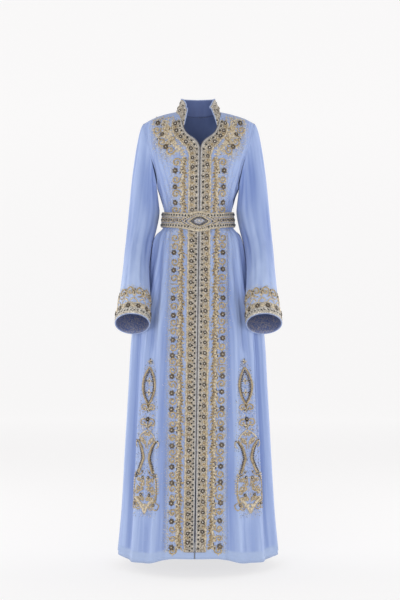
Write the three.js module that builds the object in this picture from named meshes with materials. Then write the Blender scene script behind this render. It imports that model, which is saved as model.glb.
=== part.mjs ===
// A floor-length kaftan with its belt, in the hollow form that it takes on a wearer.
// Two fronts and a back are cut for the bodice, and as many for the skirt, and joined at the waist under
// the belt. It has set-in sleeves and a stand collar. Bands of braid edge the front opening, and stiff
// borders end the sleeves. Cloth is a thin wall, open at the neck, the hem and the sleeves' ends.
// Millimetres. +Z is up, -Y is the garment's front, and +X is the wearer's left. The origin is the middle
// of the neck, level with the inner ends of the shoulder seams, where the wearer's shoulders hold it up.
import * as THREE from "three";

const wall = 2; // cloth and lining together
const seamGap = 0.35; // left between panels that are sewn together
const sewnEndGap = 0.6; // left where a sleeve or the collar is sewn to a panel's edge at an angle
const braidLift = 1.6; // a braid lies this far off the panel under it
const cuffLift = 0.5;
const braidThickness = 1.5;
const collarThickness = 2.4;
const beltThickness = 2.6;

const neckHalf = 71;
const shoulderHalf = 177;
const shoulderDrop = 37;
const underarmZ = -262;
const neckPointZ = -127; // the lowest point of the front neckline
const backNeckDrop = 8;
const hemZ = -1440;
const frontHemLift = 22;
const flatHalf = 88; // half the width of the front that carries embroidery and hangs without folds
const slitTopZ = -1080;
const slitHalf = 2.6; // half the width of the open front edge at the hem
const openingLean = { top: 7, hem: -10.5 }; // the front opening hangs a little out of plumb

// The garment's level sections: half width, how far the front and back stand from the widest point, where
// in depth that point is, and the power of the curve between them, which is 0.5 on an ellipse.
const sections = [
  { z: 0, half: 71, front: 52, back: 56, widest: 4, power: 0.8 },
  { z: -37, half: 177, front: 68, back: 72, widest: 3, power: 0.72 },
  { z: -95, half: 180, front: 90, back: 90, widest: 0, power: 0.58 },
  { z: -150, half: 172, front: 106, back: 97, widest: 0, power: 0.5 },
  { z: -211, half: 152, front: 118, back: 98, widest: 0, power: 0.5 },
  { z: -262, half: 131, front: 119, back: 95, widest: 0, power: 0.5 },
  { z: -300, half: 116, front: 109, back: 89, widest: 0, power: 0.5 },
  { z: -327, half: 109, front: 99, back: 84, widest: 0, power: 0.5 },
  { z: -375, half: 113, front: 101, back: 88, widest: 0, power: 0.5 },
  { z: -400, half: 132, front: 108, back: 98, widest: 0, power: 0.5 },
  { z: -450, half: 146, front: 118, back: 113, widest: 2, power: 0.5 },
  { z: -510, half: 153, front: 127, back: 127, widest: 5, power: 0.5 },
  { z: -600, half: 180, front: 140, back: 145, widest: 12, power: 0.5 },
  { z: -720, half: 216, front: 158, back: 162, widest: 22, power: 0.5 },
  { z: -900, half: 227, front: 174, back: 180, widest: 22, power: 0.5 },
  { z: -1100, half: 238, front: 188, back: 196, widest: 20, power: 0.5 },
  { z: -1300, half: 250, front: 199, back: 210, widest: 18, power: 0.5 },
  { z: -1440, half: 262, front: 206, back: 220, widest: 16, power: 0.5 },
];

// Edges, as points from the middle outwards or from the top down.
const frontNeckline = [
  { x: 0, z: neckPointZ },
  { x: 5, z: -111 },
  { x: 15, z: -98 },
  { x: 31, z: -86 },
  { x: 46, z: -72 },
  { x: 54, z: -54 },
  { x: 63, z: -26 },
  { x: 71, z: 0 },
];
const armhole = [
  { z: -37, front: 177, back: 177 },
  { z: -60, front: 170, back: 173 },
  { z: -95, front: 163, back: 168 },
  { z: -150, front: 152, back: 159 },
  { z: -211, front: 138, back: 143 },
  { z: -245, front: 132, back: 134 },
  { z: -262, front: 131, back: 131 },
];

// Lines down the flat middle of a front: where each starts on the neckline, and how far it then runs from
// the front edge.
const flatLines = [
  { top: 0, x: 0 },
  { top: 6, x: 5 },
  { top: 17, x: 15 },
  { top: 34, x: 30 },
  { top: 54, x: 46 },
  { top: 63, x: 60 },
  { top: 69, x: 74 },
  { top: 71, x: flatHalf },
];
// Lines down the folds. share is how far round each lies, from the flat middle of a front to the side seam,
// or from the side seam to the middle of the back. The others say how far the cloth stands out of its
// smooth form there, as the belt's gathers, at the knee and at the hem.
const frontFolds = [
  { share: 0.07, belt: -2.5, knee: -7, hem: -9 },
  { share: 0.16, belt: 1.5, knee: 4, hem: 5 },
  { share: 0.23, belt: -2, knee: -1, hem: -1 },
  { share: 0.3, belt: -2.5, knee: -8, hem: -8 },
  { share: 0.37, belt: 1.5, knee: -1, hem: 1 },
  { share: 0.44, belt: 1.5, knee: 5, hem: 6 },
  { share: 0.51, belt: -2, knee: -5, hem: -4 },
  { share: 0.58, belt: -2.5, knee: -15, hem: -13 },
  { share: 0.67, belt: 1.5, knee: -4, hem: -4 },
  { share: 0.76, belt: 1.5, knee: 5, hem: 6 },
  { share: 0.84, belt: -2.5, knee: 2, hem: 1 },
  { share: 0.92, belt: -2.5, knee: -7, hem: -10 },
  { share: 1, belt: 0, knee: 0, hem: 0 },
];
const neckShare = 0.6; // the back's line that ends at the neck's side
const backFolds = [
  { share: 0, belt: 0, knee: 0, hem: 0 },
  { share: 0.07, belt: -2.5, knee: -6, hem: -8 },
  { share: 0.14, belt: 1.5, knee: 4, hem: 6 },
  { share: 0.22, belt: -2.5, knee: -9, hem: -12 },
  { share: 0.3, belt: 1.5, knee: 4, hem: 5 },
  { share: 0.37, belt: -2.5, knee: -6, hem: -8 },
  { share: 0.45, belt: 1.5, knee: 6, hem: 9 },
  { share: 0.53, belt: -2.5, knee: -11, hem: -14 },
  { share: neckShare, belt: 1.5, knee: 4, hem: 6 },
  { share: 0.68, belt: -2, knee: -7, hem: -9 },
  { share: 0.76, belt: 1.5, knee: 6, hem: 8 },
  { share: 0.84, belt: -2.5, knee: -10, hem: -13 },
  { share: 0.92, belt: 1.5, knee: 4, hem: 5 },
  { share: 1, belt: -1, knee: -4, hem: -5 },
];
const rightSideDepth = 0.86; // the folds on the wearer's right hang a little shallower
const beltSpan = { top: -327, bottom: -375 };
const waistZ = -351; // the seam between bodice and skirt, under the belt
const gatherTopZ = -165; // gathers die out here, above the belt
const kneeZ = -760;

// Rows of the panels: shares of the way from the neck and shoulder to the underarm, then heights.
const upperRows = [0, 0.04, 0.12, 0.23, 0.35, 0.48, 0.61, 0.74, 0.87, 1];
const lowerRows = [
  -290, -327, waistZ, -375, -400, -440, -500, -580, -670, -780, -920, -1100, -1290, hemZ,
];

// Rings of the sleeve from above the elbow to its end, bent forwards like an arm at ease.
const sleeveRings = [
  { z: -330, x: 174.5, y: 4, half: 51, depth: 60, tilt: 0 },
  { z: -380, x: 181.5, y: 0, half: 48.5, depth: 61, tilt: 8 },
  { z: -430, x: 191, y: -13, half: 43.5, depth: 62, tilt: 17 },
  { z: -490, x: 197.5, y: -40, half: 42, depth: 63, tilt: 24 },
  { z: -550, x: 200, y: -69, half: 45, depth: 65, tilt: 26 },
  { z: -605, x: 201, y: -96, half: 49.5, depth: 68, tilt: 26 },
  { z: -653, x: 204.5, y: -119, half: 52.3, depth: 72, tilt: 26 },
  { z: -686, x: 206.5, y: -136, half: 53.5, depth: 75, tilt: 26 },
];
// Rows of the sleeve's cap: share of the way from the armhole to the first ring, and how far its outer
// line stands out of a straight one.
const capRows = [
  { share: 0.12, puff: 8 },
  { share: 0.3, puff: 9.5 },
  { share: 0.52, puff: 8 },
  { share: 0.76, puff: 4.5 },
];
// Creases that run down the sleeve: degrees from its outer line round by the front, the height where each
// is deepest, how far it reaches up and down from there, and its depth.
const sleeveCreases = [
  { angle: 92, z: -240, reach: 150, depth: 6 },
  { angle: 140, z: -220, reach: 110, depth: 5 },
  { angle: 38, z: -420, reach: 190, depth: 4 },
  { angle: 232, z: -300, reach: 170, depth: 5 },
  { angle: 305, z: -480, reach: 200, depth: 5 },
];
const creaseHalfAngle = 34;
const sleeveClearance = 4.5;

// The belt's edges at places along its front, then level round the sides and back.
const beltShape = [
  { x: 0, top: -328, bottom: -394 },
  { x: 20, top: -330, bottom: -391 },
  { x: 36, top: -334, bottom: -386 },
  { x: 66, top: -333, bottom: -381 },
  { x: 95, top: -330, bottom: -378 },
  { x: 116, top: beltSpan.top, bottom: beltSpan.bottom },
];
const beltLift = 4.8; // off the cloth's smooth form, over its gathers and the braid
const beltColumns = 48;
const medallion = { half: 31, tall: 18, edge: 1.2, dome: 2.2, gap: 1.4 };

// The collar's free edge, from its front point on the neckline round to the middle of the back. Each point
// is joined to one on the neckline: front ones by the top of a flat line, back ones by a share.
const collarEdge = [
  { front: 54, x: 52.5, y: -67, z: -50 },
  { front: 63, x: 45, y: -59, z: -20 },
  { front: 69, x: 38.5, y: -47, z: 8 },
  { front: 71, x: 50, y: -24, z: 37 },
  { back: 0.68, x: 56, y: 0, z: 41 },
  { back: 0.76, x: 53, y: 25, z: 43 },
  { back: 0.84, x: 41, y: 46, z: 45 },
  { back: 0.92, x: 22, y: 59, z: 46 },
  { back: 1, x: 0, y: 64, z: 46 },
];
const collarBow = 2;

// The braid of the front edge: cross lines where it turns along the neckline, and its straight stretch.
const braidTurns = [
  { inX: 62, inZ: -34, outX: 79, outZ: -39 },
  { inX: 59, inZ: -42, outX: 88, outZ: -49 },
  { inX: 55, inZ: -56, outX: 88, outZ: -65 },
  { inX: 47.5, inZ: -73.5, outX: 75, outZ: -93 },
  { inX: 32.5, inZ: -88.5, outX: 56, outZ: -113 },
  { inX: 16.5, inZ: -100.5, outX: 44, outZ: -127 },
  { inX: 6.5, inZ: -113.5, outX: 37, outZ: -141 },
  { inX: 1.6, inZ: -129, outX: 34, outZ: -156 },
];
const braid = { width: 33, inset: 1.2, scallop: 1.6, pitch: 33, topZ: -172, endZ: -1415 };

// A smooth curve through two columns of a table that never swings past its rows.
function through(rows, along, value) {
  const sorted = [...rows].sort((a, b) => a[along] - b[along]);
  const t = sorted.map((row) => row[along]);
  const v = sorted.map((row) => row[value]);
  const slope = t.slice(1).map((next, i) => (v[i + 1] - v[i]) / (next - t[i]));
  const tangent = t.map((_, i) => {
    if (i === 0) return slope[0];
    if (i === t.length - 1) return slope[i - 1];
    const before = slope[i - 1];
    const after = slope[i];
    return before * after <= 0 ? 0 : (2 * before * after) / (before + after);
  });
  return (at) => {
    const s = Math.min(Math.max(at, t[0]), t[t.length - 1]);
    const i = Math.max(1, t.findIndex((knot) => knot >= s));
    const h = t[i] - t[i - 1];
    const f = (s - t[i - 1]) / h;
    const rise = f * f * (3 - 2 * f);
    const bend = h * f * (1 - f) * ((1 - f) * tangent[i - 1] - f * tangent[i]);
    return v[i - 1] * (1 - rise) + v[i] * rise + bend;
  };
}

const lerp = THREE.MathUtils.lerp;
const smooth = THREE.MathUtils.smoothstep;
const degrees = THREE.MathUtils.degToRad;
const vec = (x, y, z) => new THREE.Vector3(x, y, z);
const tableCurves = (rows, along, columns) =>
  Object.fromEntries(columns.map((column) => [column, through(rows, along, column)]));
const sectionAt = tableCurves(sections, "z", ["half", "front", "back", "widest", "power"]);
const ringAt = tableCurves(sleeveRings, "z", ["x", "y", "half", "depth", "tilt"]);
const beltEdge = tableCurves(beltShape, "x", ["top", "bottom"]);
const armholeX = tableCurves(armhole, "z", ["front", "back"]);
const necklineZ = through(frontNeckline, "x", "z");
const shoulderSlope = shoulderDrop / (shoulderHalf - neckHalf);
const shoulderZ = (x) => -shoulderSlope * (x - neckHalf);
const backNeckZ = (x) => -backNeckDrop * (1 - (x / neckHalf) ** 2);
const halfAt = (z) => (z > -shoulderDrop ? neckHalf - z / shoulderSlope : sectionAt.half(z));
const leanAt = (z) => lerp(openingLean.hem, openingLean.top, (z - hemZ) / (neckPointZ - hemZ));
const slitAt = (z) => slitHalf * smooth(-z, -slitTopZ, -hemZ);

// The smooth form's depth at a place seen from the front. face is -1 on the front and 1 on the back.
function formY(x, z, face) {
  const away = face < 0 ? sectionAt.front(z) : sectionAt.back(z);
  const inside = Math.max(0, 1 - (x / halfAt(z)) ** 2);
  return sectionAt.widest(z) + face * away * inside ** sectionAt.power(z);
}

// A point of the form, moved out of its level section by a distance.
function onForm(x, z, face, out) {
  const y = formY(x, z, face);
  const away = face < 0 ? sectionAt.front(z) : sectionAt.back(z);
  const normal = vec(x / halfAt(z) ** 2, (y - sectionAt.widest(z)) / away ** 2, 0).normalize();
  return vec(x, y, z).addScaledVector(normal, out);
}

// How far the opening's lean moves a point: all of it over the flat middle, fading towards the sides.
const leanShift = (x, z) => leanAt(z) * (1 - smooth(Math.abs(x), flatHalf * 0.6, halfAt(z)));

// How far a fold's line stands out at a height.
function standOut(fold, z) {
  if (z > beltSpan.bottom) return fold.belt * (1 - smooth(z, beltSpan.top, gatherTopZ));
  if (z > kneeZ) return lerp(fold.knee, fold.belt, smooth(z, kneeZ, beltSpan.bottom));
  return lerp(fold.hem, fold.knee, (z - hemZ) / (kneeZ - hemZ));
}

// The skirt gives way where a sleeve hangs against it.
function giveWay(p) {
  const fade = 1 - smooth(-p.z, 700, 790);
  const reach = (ringAt.depth(p.z) + sleeveClearance) / Math.cos(degrees(ringAt.tilt(p.z)));
  const off = (p.y - ringAt.y(p.z)) / reach;
  if (p.z > beltSpan.bottom || Math.abs(off) >= 1) return p;
  const limit = ringAt.x(p.z) - (ringAt.half(p.z) + sleeveClearance) * Math.sqrt(1 - off * off);
  const held = Math.min(Math.abs(p.x), limit);
  p.x = Math.sign(p.x) * lerp(Math.abs(p.x), held, fade);
  return p;
}

// A place in a patch between four edges: two ruled patches less the one between their corners.
function patch(top, bottom, inner, outer, u, v) {
  const at = (k) => {
    const down = lerp(top[k], bottom[k], v);
    const across = lerp(inner(v)[k], outer(v)[k], u);
    const corners = lerp(lerp(inner(0)[k], outer(0)[k], u), lerp(inner(1)[k], outer(1)[k], u), v);
    return down + across - corners;
  };
  return { x: at("x"), z: at("z") };
}

// Lines of a panel: where each starts on its top edge, and its place at a height below the underarm.
const frontLines = [
  ...flatLines.map(({ top, x }) => ({ top, placed: () => x })),
  ...frontFolds.map((fold, k) => ({
    fold,
    top: lerp(neckHalf, shoulderHalf, (k + 1) / frontFolds.length),
    placed: (z) => {
      const edge = Math.asin(flatHalf / halfAt(z));
      return halfAt(z) * Math.sin(lerp(edge, Math.PI / 2, fold.share));
    },
  })),
];
const backLines = backFolds.map((fold) => ({
  fold,
  top:
    fold.share < neckShare
      ? lerp(shoulderHalf, neckHalf, fold.share / neckShare)
      : lerp(neckHalf, 0, (fold.share - neckShare) / (1 - neckShare)),
  placed: (z) => halfAt(z) * Math.cos((fold.share * Math.PI) / 2),
}));

// Rows of places for a panel's lines, from its top edge to the hem.
function panelPlaces(lines, topZ, middleTopZ, armholeAt) {
  const inner = (v) => ({ x: 0, z: lerp(middleTopZ, underarmZ, v) });
  const outer = (v) => {
    const z = lerp(-shoulderDrop, underarmZ, v);
    return { x: armholeAt(z), z };
  };
  const upper = upperRows.map((v) =>
    lines.map((line) => {
      const top = { x: line.top, z: topZ(line.top) };
      const bottom = { x: line.placed(underarmZ), z: underarmZ };
      const place = patch(top, bottom, inner, outer, line.top / shoulderHalf, v);
      return { ...place, line, onShoulder: v === 0 && line.top >= neckHalf };
    }),
  );
  const lower = lowerRows.map((z) => lines.map((line) => ({ x: line.placed(z), z, line })));
  return [...upper, ...lower];
}

// Outer points of a front. side is 1 on the wearer's left and -1 on their right.
function frontPoints(side) {
  const topZ = (x) => (x < neckHalf ? necklineZ(x) : shoulderZ(x));
  const depth = side > 0 ? 1 : rightSideDepth;
  const places = panelPlaces(frontLines, topZ, neckPointZ, armholeX.front);
  return places.map((row) =>
    row.map(({ x, z, line, onShoulder }, j) => {
      const p = onForm(x, z, -1, line.fold ? depth * standOut(line.fold, z) : 0);
      const edge = j === 0 ? seamGap * 0.6 + slitAt(z) : 0;
      p.x = side * (p.x + edge) + leanShift(x, z);
      if (onShoulder || j === row.length - 1) p.y -= seamGap / 2;
      if (z === hemZ) p.z += frontHemLift * (1 - smooth(x, 60, 170));
      return giveWay(p);
    }),
  );
}

// Outer points of the back, from the side seam on the wearer's left round to the one on their right.
function backPoints() {
  const topZ = (x) => (x < neckHalf ? backNeckZ(x) : shoulderZ(x));
  const places = panelPlaces(backLines, topZ, -backNeckDrop, armholeX.back);
  const half = (side) =>
    places.map((row) =>
      row.map(({ x, z, line, onShoulder }, j) => {
        const depth = side > 0 ? 1 : rightSideDepth;
        const p = onForm(x, z, 1, depth * standOut(line.fold, z));
        p.x *= side;
        if (onShoulder || j === 0) p.y += seamGap / 2;
        return giveWay(p);
      }),
    );
  const left = half(1);
  const right = half(-1);
  return left.map((row, i) => [...row, ...right[i].slice(0, -1).reverse()]);
}

// Outward directions over a grid of points whose rows run downwards. turn is 1 where the columns run
// anticlockwise seen from above, and -1 where they run clockwise. A ring's columns join round.
function gridNormals(points, turn, ring = false) {
  const lastRow = points.length - 1;
  return points.map((row, i) =>
    row.map((_, j) => {
      const count = row.length;
      const next = ring ? (j + 1) % count : Math.min(j + 1, count - 1);
      const before = ring ? (j + count - 1) % count : Math.max(j - 1, 0);
      const across = row[next].clone().sub(row[before]);
      const down = points[Math.min(i + 1, lastRow)][j].clone().sub(points[Math.max(i - 1, 0)][j]);
      return down.cross(across).multiplyScalar(turn).normalize();
    }),
  );
}

const movedOut = (points, normals, distance) =>
  points.map((row, i) => row.map((p, j) => p.clone().addScaledVector(normals[i][j], distance)));

// A closed wall between an outer and an inner grid of points, with the same turn as gridNormals.
function wallGeometry(outer, inner, turn, ring = false) {
  const rows = outer.length;
  const columns = outer[0].length;
  const at = (layer, i, j) => (layer * rows + i) * columns + (j % columns);
  const index = [];
  const quad = (a, b, c, d) => index.push(...(turn > 0 ? [a, b, c, a, c, d] : [a, c, b, a, d, c]));
  const spans = ring ? columns : columns - 1;
  for (let j = 0; j < spans; j++) {
    for (let i = 0; i < rows - 1; i++) {
      quad(at(0, i, j), at(0, i + 1, j), at(0, i + 1, j + 1), at(0, i, j + 1));
      quad(at(1, i, j), at(1, i, j + 1), at(1, i + 1, j + 1), at(1, i + 1, j));
    }
    quad(at(0, 0, j), at(0, 0, j + 1), at(1, 0, j + 1), at(1, 0, j));
    quad(at(0, rows - 1, j), at(1, rows - 1, j), at(1, rows - 1, j + 1), at(0, rows - 1, j + 1));
  }
  for (let i = 0; i < rows - 1 && !ring; i++) {
    const end = columns - 1;
    quad(at(0, i, 0), at(1, i, 0), at(1, i + 1, 0), at(0, i + 1, 0));
    quad(at(0, i, end), at(0, i + 1, end), at(1, i + 1, end), at(1, i, end));
  }
  const positions = [...outer, ...inner].flat().flatMap((p) => p.toArray());
  const geometry = new THREE.BufferGeometry();
  geometry.setAttribute("position", new THREE.Float32BufferAttribute(positions, 3));
  geometry.setIndex(index);
  geometry.computeVertexNormals();
  return geometry;
}

// A panel's outer and inner grids. Where two panels are sewn together, the wall's edge is square to the
// plane of the seam, so that neither reaches into the other.
function panelGrids(outer, turn, { sides, middle, shoulder }) {
  const normals = gridNormals(outer, turn);
  const flatten = (normal, axis) => {
    normal[axis] = 0;
    normal.normalize();
  };
  normals.forEach((row) => {
    sides.forEach((j) => flatten(row.at(j), "y"));
    if (middle !== undefined) flatten(row[middle], "x");
  });
  shoulder.forEach((j) => flatten(normals[0][j], "y"));
  return { outer, inner: movedOut(outer, normals, -wall), normals };
}

// A panel cut in two at the waist, half a seam's gap off on each side.
function cutAtWaist({ outer, inner }) {
  const row = upperRows.length + lowerRows.indexOf(waistZ);
  const cutRow = (grid, off) => grid[row].map((p) => p.clone().setZ(waistZ + off));
  const above = (grid) => [...grid.slice(0, row), cutRow(grid, seamGap / 2)];
  const below = (grid) => [cutRow(grid, -seamGap / 2), ...grid.slice(row + 1)];
  return {
    bodice: { outer: above(outer), inner: above(inner) },
    skirt: { outer: below(outer), inner: below(inner) },
  };
}

// The end of a wall where it is sewn to another piece's edge: it starts a seam's gap away from that edge,
// and its thickness never leans back over it.
function sewnEnd(edge, away, normal, thickness) {
  const outer = edge.clone().addScaledVector(away, sewnEndGap);
  const through = normal.clone().multiplyScalar(-thickness);
  const back = Math.min(0, through.dot(away));
  return { outer, inner: outer.clone().add(through.addScaledVector(away, -back)) };
}

// A point of the sleeve's rings. angle runs from the outer line round by the front.
function ringPoint(side, z, angle) {
  const tilt = degrees(ringAt.tilt(z));
  const forward = ringAt.depth(z) * Math.sin(angle);
  return vec(
    side * (ringAt.x(z) + ringAt.half(z) * Math.cos(angle)),
    ringAt.y(z) - forward * Math.cos(tilt),
    z + forward * Math.sin(tilt),
  );
}

function creaseDepth(z, angle) {
  const bump = (off, width) => Math.cos((Math.min(1, Math.abs(off) / width) * Math.PI) / 2) ** 2;
  const turned = THREE.MathUtils.radToDeg(angle);
  return sleeveCreases.reduce(
    (sum, crease) =>
      sum + crease.depth * bump(turned - crease.angle, creaseHalfAngle) * bump(z - crease.z, crease.reach),
    0,
  );
}

// A sleeve's grids, hung from the armhole edges of a front and the back. Columns start at the shoulder
// and run round by the front and the underarm.
function sleeveGrids(side, front, back) {
  const last = upperRows.length - 1;
  const sideColumn = side > 0 ? 0 : back.outer[0].length - 1;
  const inwards = side > 0 ? 1 : -1;
  const frontColumn = front.outer[0].length - 1;
  const edgeOf = (panel, i, j, before) => ({
    edge: panel.outer[i][j].clone(),
    away: panel.outer[i][j].clone().sub(panel.outer[i][before]).normalize(),
  });
  const frontEdge = upperRows.map((_, i) => edgeOf(front, i, frontColumn, frontColumn - 1));
  const backEdge = upperRows.map((_, i) => edgeOf(back, i, sideColumn, sideColumn + inwards));
  const joined = (i, away) => ({
    edge: frontEdge[i].edge.clone().lerp(backEdge[i].edge, 0.5),
    away,
  });
  const loop = [
    joined(0, vec(side, 0, -shoulderSlope).normalize()),
    ...frontEdge.slice(1, last),
    joined(last, vec(side, 0, 0)),
    ...backEdge.slice(1, last).reverse(),
  ];
  const angles = loop.map((_, k) => (k / loop.length) * Math.PI * 2);
  const start = loop.map(({ edge, away }) => edge.clone().addScaledVector(away, sewnEndGap));
  const cap = capRows.map(({ share, puff }) =>
    start.map((p, k) => {
      const row = p.clone().lerp(ringPoint(side, sleeveRings[0].z, angles[k]), share);
      row.x += side * puff * Math.max(0, Math.cos(angles[k]));
      return row;
    }),
  );
  const rings = sleeveRings.map(({ z }) => angles.map((angle) => ringPoint(side, z, angle)));
  const smoothForm = [start, ...cap, ...rings];
  const smoothNormals = gridNormals(smoothForm, -side, true);
  const outer = smoothForm.map((row, i) =>
    row.map((p, k) =>
      i === 0 ? p : p.clone().addScaledVector(smoothNormals[i][k], -creaseDepth(p.z, angles[k])),
    ),
  );
  const normals = gridNormals(outer, -side, true);
  const inner = movedOut(outer, normals, -wall);
  inner[0] = loop.map(({ edge, away }, k) => sewnEnd(edge, away, normals[0][k], wall).inner);
  return { outer, inner, normals };
}

// The stiff border on a sleeve's last span.
function cuffGeometry(side, sleeve) {
  const rows = sleeve.outer.slice(-2);
  const normals = sleeve.normals.slice(-2);
  const outer = movedOut(rows, normals, cuffLift + braidThickness);
  return wallGeometry(outer, movedOut(rows, normals, cuffLift), -side, true);
}

// The stand collar, sewn to the neckline of both fronts and the back.
function collarGeometry(fronts, back) {
  const frontColumn = (top) => frontLines.findIndex((line) => line.top === top);
  const backCentre = (back.outer[0].length - 1) / 2;
  const backColumn = (share) => backFolds.findIndex((fold) => fold.share === share);
  const edgeOf = (panel, j) => {
    const edge = panel.outer[0][j].clone();
    return { edge, away: vec(-edge.x, -edge.y, neckHalf).normalize() };
  };
  const halfOf = (side) =>
    collarEdge.map((point) => {
      const fromCentre = point.back && backCentre - backColumn(point.back);
      const sewn = point.back
        ? edgeOf(back, backCentre - side * fromCentre)
        : edgeOf(fronts[side > 0 ? 0 : 1], frontColumn(point.front));
      return { ...sewn, free: vec(side * point.x + leanAt(point.z), point.y, point.z) };
    });
  const columns = [...halfOf(1), ...halfOf(-1).slice(0, -1).reverse()];
  const sewn = columns.map(({ edge, away }) => edge.clone().addScaledVector(away, sewnEndGap));
  const free = columns.map((column) => column.free);
  const ruled = [free, free.map((p, k) => p.clone().lerp(sewn[k], 0.5)), sewn];
  const bowed = movedOut([ruled[1]], [gridNormals(ruled, 1)[1]], collarBow)[0];
  const outer = [free, bowed, sewn];
  const normals = gridNormals(outer, 1);
  const inner = movedOut(outer, normals, -collarThickness);
  inner[2] = columns.map(
    ({ edge, away }, k) => sewnEnd(edge, away, normals[2][k], collarThickness).inner,
  );
  return wallGeometry(outer, inner, 1);
}

// Where a line along Y meets a panel's flat middle: the point and the way out of the cloth there.
function dropOnto(panel, x, z) {
  const triangle = new THREE.Triangle();
  const weights = vec(0, 0, 0);
  const flat = (p) => vec(p.x, 0, p.z);
  for (let i = 0; i < panel.outer.length - 1; i++)
    for (let j = 0; j < flatLines.length + 2; j++)
      for (const corners of [
        [[i, j], [i + 1, j], [i + 1, j + 1]],
        [[i, j], [i + 1, j + 1], [i, j + 1]],
      ]) {
        const points = corners.map(([r, c]) => panel.outer[r][c]);
        triangle.set(...points.map(flat));
        triangle.getBarycoord(vec(x, 0, z), weights);
        if (Math.min(weights.x, weights.y, weights.z) < -1e-6) continue;
        const blend = (three) =>
          vec(0, 0, 0)
            .addScaledVector(three[0], weights.x)
            .addScaledVector(three[1], weights.y)
            .addScaledVector(three[2], weights.z);
        const normal = blend(corners.map(([r, c]) => panel.normals[r][c])).normalize();
        return { point: blend(points), normal };
      }
  throw new Error(`no cloth under ${x}, ${z}`);
}

// The braid along a front's edge and neckline, laid on the cloth.
function placketGeometry(side, panel) {
  const steps = Math.round((braid.topZ - braid.endZ) / (braid.pitch / 2));
  const straight = Array.from({ length: steps + 1 }, (_, k) => {
    const z = lerp(braid.topZ, braid.endZ, k / steps);
    const edge = braid.width + (k % 2 ? braid.scallop : -braid.scallop);
    return { inX: braid.inset + slitAt(z), inZ: z, outX: edge, outZ: z };
  });
  const onCloth = (x, z) => dropOnto(panel, side * x + leanShift(x, z), z);
  const rows = [...braidTurns, ...straight].map(({ inX, inZ, outX, outZ }) =>
    [0, 0.5, 1].map((share) => onCloth(lerp(inX, outX, share), lerp(inZ, outZ, share))),
  );
  const points = rows.map((row) => row.map(({ point }) => point));
  const normals = rows.map((row) => row.map(({ normal }) => normal));
  const outer = movedOut(points, normals, braidLift + braidThickness);
  return wallGeometry(outer, movedOut(points, normals, braidLift), side);
}

// A point off the belt's outer face, at a place seen from the front.
function onBelt(x, z, face, out) {
  const p = onForm(x, z, face, beltLift + out);
  p.x += leanShift(x, z);
  return p;
}

function beltGeometry() {
  const grid = (out) =>
    [0, 1 / 3, 2 / 3, 1].map((share) =>
      Array.from({ length: beltColumns }, (_, k) => {
        const angle = (k / beltColumns) * Math.PI * 2;
        const face = Math.cos(angle) > 1e-9 ? -1 : 1;
        const along = face < 0 ? Math.abs(Math.sin(angle)) * beltShape.at(-1).x : beltShape.at(-1).x;
        const z = lerp(beltEdge.top(along), beltEdge.bottom(along), share);
        return onBelt(halfAt(z) * Math.sin(angle), z, face, out);
      }),
    );
  return wallGeometry(grid(beltThickness), grid(0), 1, true);
}

// The pointed oval boss at the belt's front.
function medallionGeometry() {
  const middleZ = (beltShape[0].top + beltShape[0].bottom) / 2;
  const grid = (rise) =>
    [1, 0.5, 0, -0.5, -1].map((v) =>
      [-0.97, -0.8, -0.5, 0, 0.5, 0.8, 0.97].map((u) => {
        const z = middleZ + v * medallion.tall * (1 - u * u);
        return onBelt(medallion.half * u, z, -1, beltThickness + medallion.gap + rise(u, v));
      }),
    );
  const top = grid((u, v) => medallion.edge + medallion.dome * (1 - u * u) * (1 - v * v));
  return wallGeometry(top, grid(() => 0), 1);
}

const cloth = new THREE.MeshStandardMaterial({ color: 0xa6b8dc, roughness: 0.8, metalness: 0 });
const metalThread = new THREE.MeshStandardMaterial({ color: 0xa9a197, roughness: 0.45, metalness: 0.5 });
const stone = new THREE.MeshStandardMaterial({ color: 0x55617f, roughness: 0.3, metalness: 0.2 });

const kaftan = new THREE.Group();
kaftan.name = "kaftan";
function add(name, geometry, material) {
  const mesh = new THREE.Mesh(geometry, material);
  mesh.name = name;
  kaftan.add(mesh);
}

const shoulderColumns = frontLines.flatMap((line, j) => (line.top >= neckHalf ? [j] : []));
const fronts = [1, -1].map((side) =>
  panelGrids(frontPoints(side), side, { sides: [-1], middle: 0, shoulder: shoulderColumns }),
);
const backOuter = backPoints();
const backShoulder = backOuter[0].flatMap((p, j) => (Math.abs(p.x) >= neckHalf - 1 ? [j] : []));
const back = panelGrids(backOuter, 1, { sides: [0, -1], shoulder: backShoulder });
function addPanel(name, panel, turn) {
  const parts = cutAtWaist(panel);
  Object.keys(parts).forEach((part) => {
    add(`${part}_${name}`, wallGeometry(parts[part].outer, parts[part].inner, turn), cloth);
  });
}

addPanel("back", back, 1);
add("collar", collarGeometry(fronts, back), metalThread);
add("belt", beltGeometry(), metalThread);
add("belt_medallion", medallionGeometry(), stone);
["left", "right"].forEach((name, k) => {
  const side = k === 0 ? 1 : -1;
  const sleeve = sleeveGrids(side, fronts[k], back);
  addPanel(`front_${name}`, fronts[k], side);
  add(`placket_${name}`, placketGeometry(side, fronts[k]), metalThread);
  add(`sleeve_${name}`, wallGeometry(sleeve.outer, sleeve.inner, -side, true), cloth);
  add(`cuff_${name}`, cuffGeometry(side, sleeve), metalThread);
});

export default kaftan;
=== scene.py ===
import math

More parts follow.
